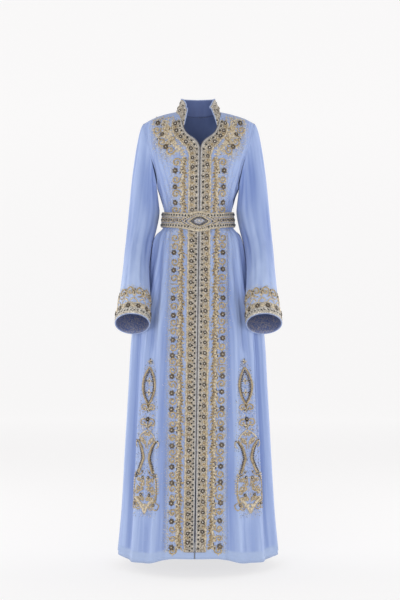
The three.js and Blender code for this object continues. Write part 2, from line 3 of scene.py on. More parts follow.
import bpy
import numpy as np
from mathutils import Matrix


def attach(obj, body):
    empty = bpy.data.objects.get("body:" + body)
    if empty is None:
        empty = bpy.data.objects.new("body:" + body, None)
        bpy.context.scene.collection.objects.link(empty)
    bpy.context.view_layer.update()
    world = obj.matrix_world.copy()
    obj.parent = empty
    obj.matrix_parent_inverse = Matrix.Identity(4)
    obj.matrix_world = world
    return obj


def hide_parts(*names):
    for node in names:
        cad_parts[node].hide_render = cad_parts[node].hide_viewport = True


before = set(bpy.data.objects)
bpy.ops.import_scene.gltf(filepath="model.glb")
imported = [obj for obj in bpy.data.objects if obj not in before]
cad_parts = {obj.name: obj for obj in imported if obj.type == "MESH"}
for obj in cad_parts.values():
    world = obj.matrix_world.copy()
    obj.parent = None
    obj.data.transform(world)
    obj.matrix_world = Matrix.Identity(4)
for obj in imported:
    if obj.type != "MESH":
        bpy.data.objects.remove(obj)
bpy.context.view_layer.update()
scene = bpy.context.scene
scene.view_settings.view_transform = "Standard"
rng = np.random.default_rng(14)

view = {"place": (0.0065, -4.5, -0.611), "lens": 83.1}
cameraData = bpy.data.cameras.new("camera")
cameraData.lens = view["lens"]
cameraObject = bpy.data.objects.new("camera", cameraData)
cameraObject.location = view["place"]
cameraObject.rotation_euler = (math.pi / 2, 0, 0)
scene.collection.objects.link(cameraObject)
scene.camera = cameraObject
print("camera in place")

# Lengths below are in millimetres, in the frame of the part: +Z up, -Y the front, +X the wearer's left.
form = {
    "z": [0, -37, -95, -150, -211, -262, -300, -327, -375, -400, -450, -510, -600, -720, -900, -1100, -1300,
          -1440],
    "half": [71, 177, 180, 172, 152, 131, 116, 109, 113, 132, 146, 153, 180, 216, 227, 238, 250, 262],
    "front": [52, 68, 90, 106, 118, 119, 109, 99, 101, 108, 118, 127, 140, 158, 174, 188, 199, 206],
    "back": [56, 72, 90, 97, 98, 95, 89, 84, 88, 98, 113, 127, 145, 162, 180, 196, 210, 220],
    "widest": [4, 3, 0, 0, 0, 0, 0, 0, 0, 0, 2, 5, 12, 22, 22, 20, 18, 16],
    "power": [0.8, 0.72, 0.58, 0.5, 0.5, 0.5, 0.5, 0.5, 0.5, 0.5, 0.5, 0.5, 0.5, 0.5, 0.5, 0.5, 0.5, 0.5],
}
neckline = {"x": [0, 5, 15, 31, 46, 54, 63, 71], "z": [-127, -111, -98, -86, -72, -54, -26, 0]}
armhole = {
    "z": [-37, -60, -95, -150, -211, -245, -262],
    "front": [177, 170, 163, 152, 138, 132, 131],
    "back": [177, 173, 168, 159, 143, 134, 131],
}
arm = {
    "z": [-330, -380, -430, -490, -550, -605, -653, -686],
    "x": [174.5, 181.5, 191, 197.5, 200, 201, 204.5, 206.5],
    "y": [4, 0, -13, -40, -69, -96, -119, -136],
    "half": [51, 48.5, 43.5, 42, 45, 49.5, 52.3, 53.5],
    "depth": [60, 61, 62, 63, 65, 68, 72, 75],
    "tilt": [0, 8, 17, 24, 26, 26, 26, 26],
}
cut = {
    "wall": 1.4, "neckHalf": 71, "shoulderHalf": 177, "shoulderDrop": 37, "underarm": -262, "neckPoint": -127,
    "backNeckDrop": 8, "hem": -1440, "frontHemLift": 22, "flatHalf": 88, "slitTop": -1080, "slitHalf": 0.5,
    "leanTop": 7, "leanHem": -10.5, "beltTop": -327, "beltBottom": -375, "gatherTop": -165, "knee": -760,
    "rightDepth": 0.86, "clearance": 1.8, "waist": -351, "crease": 1.4, "ornamentFlat": 30, "sidePuff": 8,
    "shoulderRise": 5.5, "shoulderRun": 114, "shoulderFade": 34, "shoulderEndDrop": 3, "leftFuller": 7,
    "hemRound": 13, "hemStart": -1290, "seamGap": 0.3,
}


# A smooth curve through a table's rows, which never swings past them. With f the share of the way from
# row i to i+1, h their gap and m their tangents: v_i (1 - f2) + v_i+1 f2 + h f (1-f) ((1-f) m_i - f m_i+1),
# where f2 = f f (3 - 2f).
def through(knots, values):
    order = np.argsort(knots)
    t = np.asarray(knots, float)[order]
    v = np.asarray(values, float)[order]
    gap = np.diff(t)
    slope = np.diff(v) / gap
    product = slope[:-1] * slope[1:]
    total = slope[:-1] + slope[1:]
    middle = np.where(product > 0, 2 * product / np.where(total == 0, 1, total), 0.0)
    tangent = np.concatenate([slope[:1], middle, slope[-1:]])

    def curve(at):
        s = np.clip(at, t[0], t[-1])
        i = np.clip(np.searchsorted(t, s, side="right") - 1, 0, len(t) - 2)
        f = (s - t[i]) / gap[i]
        rise = f * f * (3 - 2 * f)
        bend = gap[i] * f * (1 - f) * ((1 - f) * tangent[i] - f * tangent[i + 1])
        return v[i] * (1 - rise) + v[i + 1] * rise + bend

    return curve


def smooth(at, low, high):
    f = np.clip((at - low) / (high - low), 0, 1)
    return f * f * (3 - 2 * f)


def mix(a, b, share):
    return a + (b - a) * share


def unit(v):
    return v / np.maximum(np.linalg.norm(v, axis=-1, keepdims=True), 1e-12)


# Coordinates side by side, each a number or an array.
def pair(*parts):
    return np.stack(np.broadcast_arrays(*[np.asarray(part, float) for part in parts]), -1)


formAt = {key: through(form["z"], form[key]) for key in ("half", "front", "back", "widest", "power")}
armAt = {key: through(arm["z"], arm[key]) for key in ("x", "y", "half", "depth", "tilt")}
armholeAt = {key: through(armhole["z"], armhole[key]) for key in ("front", "back")}
necklineAt = through(neckline["x"], neckline["z"])
shoulderSlope = cut["shoulderDrop"] / (cut["shoulderHalf"] - cut["neckHalf"])


def halfAt(z):
    return np.where(z > -cut["shoulderDrop"], cut["neckHalf"] - z / shoulderSlope, formAt["half"](z))


def leanAt(z):
    return mix(cut["leanHem"], cut["leanTop"], (z - cut["hem"]) / (cut["neckPoint"] - cut["hem"]))


def leanShift(x, z):
    return leanAt(z) * (1 - smooth(np.abs(x), cut["flatHalf"] * 0.6, halfAt(z)))


# The shoulder line is a little rounded: it rises by a half sine from the neck to the sleeve.
def shoulderRise(x, z):
    beyond = np.abs(x) - cut["neckHalf"]
    rise = cut["shoulderRise"] * np.sin(np.pi * np.clip(beyond / cut["shoulderRun"], 0, 1))
    drop = cut["shoulderEndDrop"] * smooth(np.abs(x), 138, cut["shoulderHalf"])
    below = np.clip(-shoulderSlope * np.clip(beyond, 0, None) - z, 0, None)
    return (rise - drop) * np.exp(-((below / cut["shoulderFade"]) ** 2))


# The wearer's left shoulder and sleeve stand out a little further than the right ones.
def shoulderOut(side, x, z):
    return cut["leftFuller"] * (side > 0) * smooth(np.abs(x), 110, 172) * smooth(z, -190, -90)


# The body's form: y = widest + face * away * (1 - (x / half)^2)^power, moved out by a distance along the
# level direction (x / half^2, (y - widest) / away^2).
def onForm(x, z, face, out):
    half = halfAt(z)
    away = formAt["front" if face < 0 else "back"](z)
    inside = np.clip(1 - (x / half) ** 2, 0, None)
    y = formAt["widest"](z) + face * away * inside ** formAt["power"](z)
    level = pair(x / half**2, (y - formAt["widest"](z)) / away**2, 0)
    return pair(x, y, z) + unit(level) * np.asarray(out)[..., None]


# Folds of the cloth: how far it stands out at the belt's gathers, at the knee and at the hem, by share of
# the way round a front from its flat middle, or round the back from the side seam.
frontFolds = {
    "share": [-0.04, 0, 0.07, 0.16, 0.23, 0.3, 0.37, 0.44, 0.51, 0.58, 0.67, 0.76, 0.84, 0.92, 1],
    "belt": [0, 0, -2.5, 1.5, -2, -2.5, 1.5, 1.5, -2, -2.5, 1.5, 1.5, -2.5, -2.5, 0],
    "knee": [0, 0, -7, 4, -1, -8, -1, 5, -5, -15, -4, 5, 2, -7, 0],
    "hem": [0, 0, -9, 5, -1, -8, 1, 6, -4, -13, -4, 6, 1, -10, 0],
}
backFolds = {
    "share": [0, 0.07, 0.14, 0.22, 0.3, 0.37, 0.45, 0.53, 0.6, 0.68, 0.76, 0.84, 0.92, 1],
    "belt": [0, -2.5, 1.5, -2.5, 1.5, -2.5, 1.5, -2.5, 1.5, -2, 1.5, -2.5, 1.5, -1],
    "knee": [0, -6, 4, -9, 4, -6, 6, -11, 4, -7, 6, -10, 4, -4],
    "hem": [0, -8, 6, -12, 5, -8, 9, -14, 6, -9, 8, -13, 5, -5],
}
foldAt = {
    -1: {key: through(frontFolds["share"], frontFolds[key]) for key in ("belt", "knee", "hem")},
    1: {key: through(backFolds["share"], backFolds[key]) for key in ("belt", "knee", "hem")},
}


def foldOut(share, z, face):
    belt = foldAt[face]["belt"](share)
    knee = foldAt[face]["knee"](share)
    hem = foldAt[face]["hem"](share)
    above = belt * (1 - smooth(z, cut["beltTop"], cut["gatherTop"]))
    skirt = mix(knee, belt, smooth(z, cut["knee"], cut["beltBottom"]))
    low = mix(hem, knee, (z - cut["hem"]) / (cut["knee"] - cut["hem"]))
    return np.where(z > cut["beltBottom"], above, np.where(z > cut["knee"], skirt, low))


# Small creases, each from one place to another on the front, seen from the front: how wide and how deep.
# A negative depth is a ridge.
frontCreases = [
    (146, -150, 122, -322, 6, 2.6), (136, -190, 110, -326, 5, 2.4), (118, -180, 98, -326, 5, 2.2),
    (103, -215, 94, -326, 4, 1.6), (126, -230, 117, -320, 4, 1.8), (150, -120, 140, -235, 7, 2.8),
    (141, -120, 126, -200, 6, -1.8), (128, -200, 105, -326, 5, -1.8), (110, -210, 100, -322, 4, -1.4),
    (98, -378, 108, -560, 6, 2.2), (108, -378, 128, -640, 7, 2.4), (118, -378, 150, -600, 6, 1.8),
    (92, -378, 96, -700, 6, -1.8), (103, -378, 118, -620, 6, -2), (113, -378, 140, -700, 7, -2),
    (140, -620, 158, -1150, 9, 2.4), (176, -700, 190, -1300, 10, 2.6), (205, -760, 226, -1420, 9, 2.4),
    (118, -640, 126, -1200, 9, -2.4), (164, -700, 176, -1420, 9, -2.6), (150, -1180, 160, -1435, 8, 2),
    (190, -1080, 204, -1435, 8, -2), (105, -900, 112, -1435, 8, 2), (132, -1230, 138, -1435, 7, -2.2),
    (216, -900, 240, -1435, 8, -2), (172, -560, 200, -1400, 4.2, 5.4), (184, -600, 212, -1380, 6, -2.6),
    (112, -470, 119, -1330, 3.6, 2.8), (126, -560, 140, -1435, 3.8, 2.2), (150, -420, 164, -760, 4, 2.6),
    (100, -376, 104, -470, 3.6, 2.6), (122, -376, 134, -500, 4, 2.8), (133, -377, 150, -520, 4, 2.4),
    (88, -300, 92, -328, 5, 2.4), (122, -285, 114, -328, 4, 2.6), (104, -280, 101, -328, 3.6, 2.4),
    (228, -1150, 246, -1438, 5, 2.6),
]
backCreases = [
    (150, -130, 120, -322, 6, 2.6), (120, -170, 96, -324, 6, 2.4), (86, -200, 74, -325, 5, 2),
    (48, -215, 42, -325, 5, 1.8), (20, -220, 16, -325, 5, 1.8), (136, -150, 108, -322, 6, -2),
    (100, -190, 86, -325, 5, -1.8), (66, -210, 58, -325, 5, -1.6), (60, -60, 130, -110, 14, 2),
    (30, -378, 36, -620, 6, 2), (64, -378, 80, -700, 7, 2.2), (92, -378, 120, -640, 6, 2),
    (48, -378, 58, -640, 6, -2), (80, -378, 100, -700, 7, -2), (16, -378, 18, -560, 6, -1.6),
    (40, -800, 46, -1435, 9, 2.4), (92, -760, 104, -1300, 9, 2.6), (150, -800, 168, -1435, 10, 2.6),
    (66, -900, 74, -1435, 9, -2.4), (126, -860, 140, -1435, 9, -2.4), (196, -820, 220, -1435, 9, 2.2),
]


# A crease: depth * exp(-(off / width)^2), dying out towards the ends of its line.
def creaseOut(x, z, creases, side):
    total = np.zeros(np.broadcast(x, z).shape)
    for k, (startX, startZ, endX, endZ, width, depth) in enumerate(creases):
        shift = side * (2.5 if k % 2 else -2.5)
        runX, runZ = endX - startX, endZ - startZ
        share = np.clip(((x - startX - shift) * runX + (z - startZ) * runZ) / (runX**2 + runZ**2), 0, 1)
        off = np.hypot(x - startX - shift - share * runX, z - startZ - share * runZ)
        ends = np.sin(np.pi * np.clip(share, 0.03, 0.97)) ** 0.7
        total -= cut["crease"] * depth * np.exp(-((off / width) ** 2)) * ends
    return total


# The skirt gives way where a sleeve hangs against it.
def giveWay(p):
    x, y, z = p[..., 0], p[..., 1], p[..., 2]
    puff = cut["sidePuff"] * smooth(-z, 377, 420) * (1 - smooth(-z, 500, 620))
    x = x + np.sign(x) * puff * smooth(np.abs(x), 90, 135)
    fade = 1 - smooth(-z, 700, 790)
    reach = (armAt["depth"](z) + cut["clearance"]) / np.cos(np.radians(armAt["tilt"](z)))
    off = (y - armAt["y"](z)) / reach
    bulge = np.sqrt(np.clip(1 - off * off, 0, None))
    limit = armAt["x"](z) - (armAt["half"](z) + cut["clearance"]) * bulge
    held = np.minimum(np.abs(x), limit)
    near = (z <= cut["beltBottom"]) & (np.abs(off) < 1)
    p[..., 0] = np.where(near, np.sign(x) * mix(np.abs(x), held, fade), x)
    return p


# The tall ornament on each side of the skirt, by (across, up) from its middle line.
ornament = {
    "middle": {1: (151, 166), -1: (153, 164)},
    "wide": ([-1300, -1280, -1240, -1160, -1110, -1056, -1000, -885, -810, -795],
             [4, 22, 38, 34, 16, 32, 28, 20, 6, 3]),
    "lens": (20, -825, -942), "beads": (14.6, -836, -936),
    "horn": ([0, 0.08, 0.2, 0.48, 0.8, 1], [33, 26, 18, 10, 21, 31]),
    "lines": [([(33, -1056), (39, -1062), (38, -1074), (33, -1078)], 2.4, "gold"),
              ([(30, -1052), (18, -1036), (6, -1026), (0, -1022)], 2.6, "gold"),
              ([(24, -1046), (12, -1050), (4, -1064), (3, -1082)], 1.8, "thread"),
              ([(8, -1150), (16, -1162), (28, -1166), (38, -1158)], 2.0, "thread"),
              ([(34, -1160), (38, -1195), (39, -1228), (32, -1250), (22, -1258)], 2.6, "amber"),
              ([(32, -1236), (18, -1250), (6, -1268), (0, -1284)], 5.6, "gold"),
              ([(24, -1240), (12, -1254), (0, -1270)], 2.4, "gold"),
              ([(36, -1246), (46, -1258), (40, -1272), (30, -1268)], 2.0, "thread")],
    "sideStem": [(36, -1166), (40, -1196), (40, -1226)],
    "slimLeaves": [(2, -962), (3, -1014), (8, -1158), (20, -1166)],
    "spirals": [(13, -952, 12, 200, -1), (14, -1000, 15.5, 210, -1), (22, -1206, 13, 100, 1),
                (13, -1182, 9, 250, -1), (27, -1240, 13, 60, -1), (15, -1236, 8, 120, 1)],
    "leaves": [(0, -812, 14, 0), (0, -812, 9, 35), (4, -960, 13, 52), (3, -1012, 14, 40), (0, -1012, 14, 0),
               (17, -1046, 12, 200), (20, -1160, 12, 20), (30, -1158, 12, 350), (3, -1176, 11, 30),
               (10, -1262, 16, 300), (32, -1220, 10, 20)],
    "flowers": [(0, -944, 5), (0, -989, 7.4), (9, -1172, 5.6), (14, -1226, 5.4), (33, -1256, 5.2),
                (32, -1168, 6)],
    "curls": [(9, -1192, 7, 60, 1), (24, -1180, 7, 200, -1), (12, -1208, 7.5, 300, 1),
              (26, -1218, 8, 120, -1), (8, -1240, 6, 30, 1), (24, -1264, 10, 160, 1), (8, -1062, 6, 80, -1),
              (16, -1054, 6.5, 240, 1), (6, -1036, 7, 10, 1)],
}


# Its middle line leans out from the first distance at -870 to the second at -1220.
def ornamentMiddle(side, z):
    high, low = ornament["middle"][side]
    return high + (low - high) * (-870 - z) / 350


# The folds of the wearer's right side are a little shallower.
def foldDepth(side):
    return 1 if side > 0 else cut["rightDepth"]


# How far the cloth stands out from the form, in its folds and creases.
def frontOut(side, x, z):
    edge = np.arcsin(np.clip(cut["flatHalf"] / halfAt(z), 0, 0.98))
    share = (np.arcsin(np.clip(x / halfAt(z), 0, 1)) - edge) / (np.pi / 2 - edge)
    out = foldDepth(side) * foldOut(share, z, -1) + creaseOut(x, z, frontCreases, side)
    stiff = np.exp(-(((x - ornamentMiddle(side, z)) / cut["ornamentFlat"]) ** 4))
    stiff = 0.85 * stiff * smooth(-z, 740, 800) * (1 - smooth(-z, 1290, 1340))
    return mix(out, 0.5, stiff)


def backOut(side, x, z):
    share = np.arccos(np.clip(x / halfAt(z), 0, 1)) / (np.pi / 2)
    middle = smooth(share, 1, 0.8)
    return foldOut(share, z, 1) * mix(1, foldDepth(side), middle) + creaseOut(x, z, backCreases, side)


# How far down the last part of the skirt a height is, from 0 to 1 at the hem.
def nearHem(z):
    return np.clip((cut["hemStart"] - z) / (cut["hemStart"] - cut["hem"]), 0, 1)


# The hem is rounded up towards the side seams.
def hemRise(x, z):
    return cut["hemRound"] * smooth(np.abs(x), 222, 262) * nearHem(z)


# Half the width of the slit, which opens below its top.
def slitAt(z):
    return cut["slitHalf"] * smooth(-z, -cut["slitTop"], -cut["hem"])


# A front's cloth at a distance x from the opening and a height z.
def frontSurface(side):
    def surface(x, z):
        x, z = np.broadcast_arrays(np.asarray(x, float), np.asarray(z, float))
        p = onForm(x, z, -1, frontOut(side, x, z))
        slit = (cut["seamGap"] + slitAt(z)) * (1 - smooth(x, 0, 8))
        p[..., 0] = side * (p[..., 0] + slit + shoulderOut(side, x, z)) + leanShift(x, z)
        p[..., 2] += cut["frontHemLift"] * (1 - smooth(x, 60, 170)) * nearHem(z)
        p[..., 2] += shoulderRise(x, z) + hemRise(x, z)
        return giveWay(p)

    return surface


def backSurface(side):
    def surface(x, z):
        x, z = np.broadcast_arrays(np.asarray(x, float), np.asarray(z, float))
        p = onForm(x, z, 1, backOut(side, x, z))
        p[..., 0] = side * (p[..., 0] + shoulderOut(side, x, z))
        p[..., 2] += shoulderRise(x, z) + hemRise(x, z)
        return giveWay(p)

    return surface


# A point of the sleeve's rings. angle runs from the outer line round by the front.
def ringPoint(side, angle, z):
    tilt = np.radians(armAt["tilt"](z))
    forward = armAt["depth"](z) * np.sin(angle)
    fuller = cut["leftFuller"] * (side > 0) * np.clip(np.cos(angle), 0, 1)
    fuller = fuller * (1 - 0.5 * smooth(-z, 420, 660))
    x = side * (armAt["x"](z) + armAt["half"](z) * np.cos(angle) + fuller)
    return pair(x, armAt["y"](z) - forward * np.cos(tilt), z + forward * np.sin(tilt))


sleeveCreases = [
    (92, -240, 150, 34, 6), (140, -220, 110, 34, 5), (38, -420, 190, 34, 4), (232, -300, 170, 34, 5),
    (305, -480, 200, 34, 5), (70, -190, 120, 13, 2.6), (112, -300, 130, 12, 2.4), (20, -170, 110, 16, 2.2),
    (55, -560, 120, 14, 2.8), (98, -590, 110, 13, 3.0), (140, -430, 90, 15, 3.4), (12, -560, 130, 14, 2.4),
    (128, -150, 90, 12, 3.6), (84, -430, 150, 12, 3.0), (118, -520, 100, 11, 2.6), (30, -330, 140, 12, 2.4),
    (330, -300, 150, 16, 2.2), (270, -420, 150, 15, 2.4), (250, -620, 90, 14, 2.2), (200, -520, 130, 14, 2.2),
]
upperRows = [0, 0.04, 0.12, 0.23, 0.35, 0.48, 0.61, 0.74, 0.87, 1]
puffAt = through([0, 0.03, 0.07, 0.12, 0.3, 0.52, 0.76, 1], [0, 4, 6.4, 8, 9.5, 8.4, 5, 0])
rowAt = through(np.arange(10), upperRows)


def sleeveDepth(turned, z):
    depth = np.zeros(np.broadcast(turned, z).shape)
    for at, middle, reach, width, deep in sleeveCreases:
        off = np.abs(np.mod(turned - at + 180, 360) - 180)
        across = np.cos(np.clip(off / width, 0, 1) * np.pi / 2) ** 2
        depth += deep * across * np.cos(np.clip(np.abs(z - middle) / reach, 0, 1) * np.pi / 2) ** 2
    return depth


# A sleeve: straight lines from the armhole (t = 0) to its first ring (t = 1), then its rings (t = 2 at its
# end). The creases are bells in the angle and the height.
def sleeveSurface(side):
    def surface(degrees, t):
        degrees, t = np.broadcast_arrays(np.asarray(degrees, float), np.asarray(t, float))
        turned = np.mod(degrees, 360)
        angle = np.radians(turned)
        inFront = turned <= 180
        z = mix(-cut["shoulderDrop"], cut["underarm"], rowAt(np.where(inFront, turned, 360 - turned) / 20))
        edgeX = np.where(inFront, armholeAt["front"](z), armholeAt["back"](z))
        edge = np.where(inFront[..., None], onForm(edgeX, z, -1, 0 * z), onForm(edgeX, z, 1, 0 * z))
        edge[..., 2] += shoulderRise(edgeX, z)
        edge[..., 0] += shoulderOut(side, edgeX, z) + 0.6
        edge = edge * np.array([side, 1, 1])
        share = np.clip(t, 0, 1)[..., None]
        cap = mix(edge, ringPoint(side, angle, np.full(t.shape, arm["z"][0], float)), share)
        cap[..., 0] += side * puffAt(share[..., 0]) * np.clip(np.cos(angle), 0, None)
        height = mix(arm["z"][0], arm["z"][-1], np.clip(t - 1, 0, 1))
        p = np.where((t > 1)[..., None], ringPoint(side, angle, height), cap)
        tilt = np.radians(armAt["tilt"](height))
        ahead = np.sin(angle) / armAt["depth"](height)
        out = pair(side * np.cos(angle) / armAt["half"](height), -ahead * np.cos(tilt), ahead * np.sin(tilt))
        return p - unit(out) * (sleeveDepth(turned, p[..., 2]) * smooth(t, 0, 0.08))[..., None]

    return surface


# The place on a surface, moved out along its normal, with the normal and the directions of both axes.
def onSurface(surface, a, b, out, sense, step=(0.5, 0.5)):
    p = surface(a, b)
    alongA = (surface(a + step[0], b) - surface(a - step[0], b)) / 2
    alongB = (surface(a, b + step[1]) - surface(a, b - step[1])) / 2
    normal = unit(sense * np.cross(alongA, alongB))
    return p + normal * np.asarray(out)[..., None], normal, unit(alongA), unit(alongB)


# A mesh from vertices in millimetres and arrays of faces, each array with its own number of corners.
def addMesh(name, vertices, faces, material, slots=None, uv=None, values=None):
    mesh = bpy.data.meshes.new(name)
    corners = np.concatenate([f.ravel() for f in faces])
    sizes = np.concatenate([np.full(len(f), f.shape[1]) for f in faces])
    mesh.vertices.add(len(vertices))
    mesh.vertices.foreach_set("co", (vertices * 0.001).astype(np.float32).ravel())
    mesh.loops.add(len(corners))
    mesh.loops.foreach_set("vertex_index", corners.astype(np.int32))
    mesh.polygons.add(len(sizes))
    mesh.polygons.foreach_set("loop_start", (np.cumsum(sizes) - sizes).astype(np.int32))
    mesh.polygons.foreach_set("use_smooth", np.ones(len(sizes), bool))
    if slots is not None:
        mesh.polygons.foreach_set("material_index", slots.astype(np.int32))
    if uv is not None:
        layer = mesh.uv_layers.new(name="place")
        layer.data.foreach_set("uv", uv[corners].astype(np.float32).ravel())
    for key, value in (values or {}).items():
        layer = mesh.attributes.new(key, "FLOAT", "POINT")
        layer.data.foreach_set("value", np.asarray(value, np.float32).ravel())
    mesh.update(calc_edges=True)
    for one in material if isinstance(material, (list, tuple)) else [material]:
        mesh.materials.append(one)
    piece = bpy.data.objects.new(name, mesh)
    scene.collection.objects.link(piece)
    return piece


# The four-cornered faces of a grid of vertices.
def quadsOf(index):
    return np.stack([index[:-1, :-1], index[:-1, 1:], index[1:, 1:], index[1:, :-1]], -1).reshape(-1, 4)


# A thin wall between a grid of points and the same grid moved in along its normals. sense is 1 where
# columns, then rows, turn left-handed about the outside.
def wallOf(points, normals, thickness, sense, ring=False):
    rows, columns = points.shape[:2]
    vertices = np.concatenate([points.reshape(-1, 3), (points - normals * thickness).reshape(-1, 3)])
    index = np.arange(rows * columns).reshape(rows, columns)
    across = np.concatenate([index, index[:, :1]], 1) if ring else index
    outer = quadsOf(across)[:, [0, 3, 2, 1]]
    inner = outer[:, ::-1] + rows * columns
    rims = [across[0], across[-1][::-1]]
    if not ring:
        rims += [index[:, -1], index[:, 0][::-1]]
    deep = rows * columns
    edges = [np.stack([r[:-1], r[1:], r[1:] + deep, r[:-1] + deep], -1) for r in rims]
    faces = np.concatenate([outer, inner, *edges])
    slots = np.concatenate([np.zeros(len(outer)), np.ones(len(inner)), *[np.zeros(len(e)) for e in edges]])
    return vertices, faces if sense < 0 else faces[:, ::-1], slots


def doubled(values):
    return np.concatenate([values.reshape(-1, values.shape[-1])] * 2)


# A band of trimming: a wall with its thread outside and plain cloth inside.
def bandWall(name, node, points, normals, thickness, sense, outside, ring=False, uv=None,
             slot="embroidery"):
    vertices, faces, slots = wallOf(points, normals, thickness, sense, ring)
    uv = None if uv is None else doubled(uv)
    return keep(addMesh(name, vertices, [faces], [outside, innerCloth], slots, uv), slot, node)


# Threads: round each path, centre + radius * (flat * cos(a) * out + sin(a) * across), thinner at its ends.
def threads(surface, sense, paths, radius, lift, sides=5, flat=0.7, taper=0.35, step=(0.5, 0.5)):
    place, out, _, _ = onSurface(surface, paths[..., 0], paths[..., 1], lift, sense, step)
    along = unit(np.gradient(place, axis=1))
    across = unit(np.cross(along, out))
    count, length = paths.shape[:2]
    ends = np.sin(np.linspace(0, np.pi, length)) ** 0.5
    thick = radius * (taper + (1 - taper) * ends)[None, :, None, None]
    a = np.arange(sides) * 2 * np.pi / sides
    ring = flat * np.cos(a)[:, None] * out[:, :, None] + np.sin(a)[:, None] * across[:, :, None]
    vertices = (place[:, :, None] + thick * ring).reshape(-1, 3)
    index = np.arange(count * length * sides).reshape(count, length, sides)
    turned = np.roll(index, -1, 2)
    skin = np.stack([index[:, :-1], turned[:, :-1], turned[:, 1:], index[:, 1:]], -1).reshape(-1, 4)
    caps = np.concatenate([index[:, 0, ::-1], index[:, -1]])
    run = np.cumsum(np.linalg.norm(np.diff(place, axis=1, prepend=place[:, :1]), axis=-1), axis=1)
    return vertices, [skin, caps], pair(run[..., None], a / (2 * np.pi)).reshape(-1, 2)


# Small solids set on a surface: each vertex (right, up, out) of the shape is turned by its spin, scaled by
# its size and put at its place. flipped is for a surface whose axes turn the other way.
def scattered(surface, sense, shape, places, sizes, spins, lift, flipped, step=(0.5, 0.5)):
    vertices, faces = shape
    places = np.asarray(places, float)
    sizes = np.broadcast_to(np.asarray(sizes, float), len(places))
    spins = np.radians(np.broadcast_to(np.asarray(spins, float), len(places)))
    place, out, right, _ = onSurface(surface, places[:, 0], places[:, 1], lift, sense, step)
    up = unit(np.cross(out, right)) * (-1 if flipped else 1)
    cos, sin = np.cos(spins)[:, None, None], np.sin(spins)[:, None, None]
    x, y, z = vertices[None, :, 0:1], vertices[None, :, 1:2], vertices[None, :, 2:3]
    turned = (x * cos - y * sin) * right[:, None] + (x * sin + y * cos) * up[:, None] + z * out[:, None]
    every = (place[:, None] + sizes[:, None, None] * turned).reshape(-1, 3)
    start = (np.arange(len(places)) * len(vertices))[:, None, None]
    moved = [(f[None] + start).reshape(-1, f.shape[1]) for f in faces]
    return every, [f[:, ::-1] for f in moved] if flipped else moved, np.zeros((len(every), 2))


# Several sets of vertices and faces as one.
def gathered(parts):
    start = 0
    vertices, faces, uv = [], [], []
    for points, sets, coordinates in parts:
        vertices.append(points)
        faces += [f + start for f in sets]
        uv.append(coordinates)
        start += len(points)
    return np.concatenate(vertices), faces, np.concatenate(uv)


# A turned shape: rows of (radius, height) from its foot to its top, whose radius swells by
# 1 + lobe * cos(petals * a), and whose width is squeezed by the last number.
def turnedShape(profile, sides, petals=0, lobe=0.0, squeeze=1.0):
    a = np.arange(sides) * 2 * np.pi / sides
    swell = 1 + lobe * np.cos(petals * a)
    rows = [pair(r * swell * np.cos(a) * squeeze, r * swell * np.sin(a), h) for r, h in profile]
    index = np.arange(len(profile) * sides).reshape(len(profile), sides)
    turned = np.roll(index, -1, 1)
    skin = np.stack([index[:-1], turned[:-1], turned[1:], index[1:]], -1).reshape(-1, 4)
    return np.concatenate(rows), [skin, index[-1:].copy(), index[:1, ::-1].copy()]


# A leaf from (0, 0) to (0, 1): its half width is wide * sin(pi t) * (1.25 - 0.5 t), domed by out.
def leafShape(wide, out, bend=0.0):
    t = np.linspace(0.02, 0.98, 6)
    half = wide * np.sin(np.pi * t) * (1.25 - 0.5 * t)
    middle = bend * np.sin(np.pi * t)
    columns = [(-1, 0), (0, 1), (1, 0)]
    points = np.stack([pair(middle + half * u, t, out * h * np.sin(np.pi * t)) for u, h in columns], 1)
    index = np.arange(len(t) * len(columns)).reshape(len(t), len(columns))
    return points.reshape(-1, 3), [quadsOf(index)]


bead = turnedShape([(1, 0), (0.92, 0.4), (0.6, 0.78), (0.15, 0.95)], 7)
flower = turnedShape([(0.95, 0), (1, 0.24), (0.66, 0.42), (0.32, 0.24)], 18, 6, 0.17)
setting = turnedShape([(1, 0), (0.96, 0.4), (0.66, 0.44), (0.54, 0.12)], 14)
stud = turnedShape([(1, 0), (0.95, 0.35), (0.6, 0.6), (0.2, 0.66)], 8)
seed = (
    np.array([[1, 0, 0.2], [0, 1, 0.2], [-1, 0, 0.2], [0, -1, 0.2], [0, 0, 0.95], [0, 0, -0.3]], float),
    [np.array([[0, 1, 4], [1, 2, 4], [2, 3, 4], [3, 0, 4], [1, 0, 5], [2, 1, 5], [3, 2, 5], [0, 3, 5]])],
)
leaf = leafShape(0.26, 0.2)
slimLeaf = leafShape(0.15, 0.16, -0.12)
print("shapes ready")


# A socket that takes part in sums: each sum or product is a Math node.
class Wire:
    def __init__(self, recipe, socket):
        self.recipe = recipe
        self.socket = socket

    def joined(self, operation, first, second):
        return self.recipe.node("ShaderNodeMath", {"operation": operation}, {0: first, 1: second})

    def __add__(self, other):
        return self.joined("ADD", self, other)

    def __radd__(self, other):
        return self.joined("ADD", other, self)

    def __sub__(self, other):
        return self.joined("SUBTRACT", self, other)

    def __rsub__(self, other):
        return self.joined("SUBTRACT", other, self)

    def __mul__(self, other):
        return self.joined("MULTIPLY", self, other)

    def __rmul__(self, other):
        return self.joined("MULTIPLY", other, self)

    def between(self, low, high):
        inputs = {"Value": self, "From Min": low, "From Max": high}
        return self.recipe.node("ShaderNodeMapRange", {"interpolation_type": "SMOOTHSTEP"}, inputs)


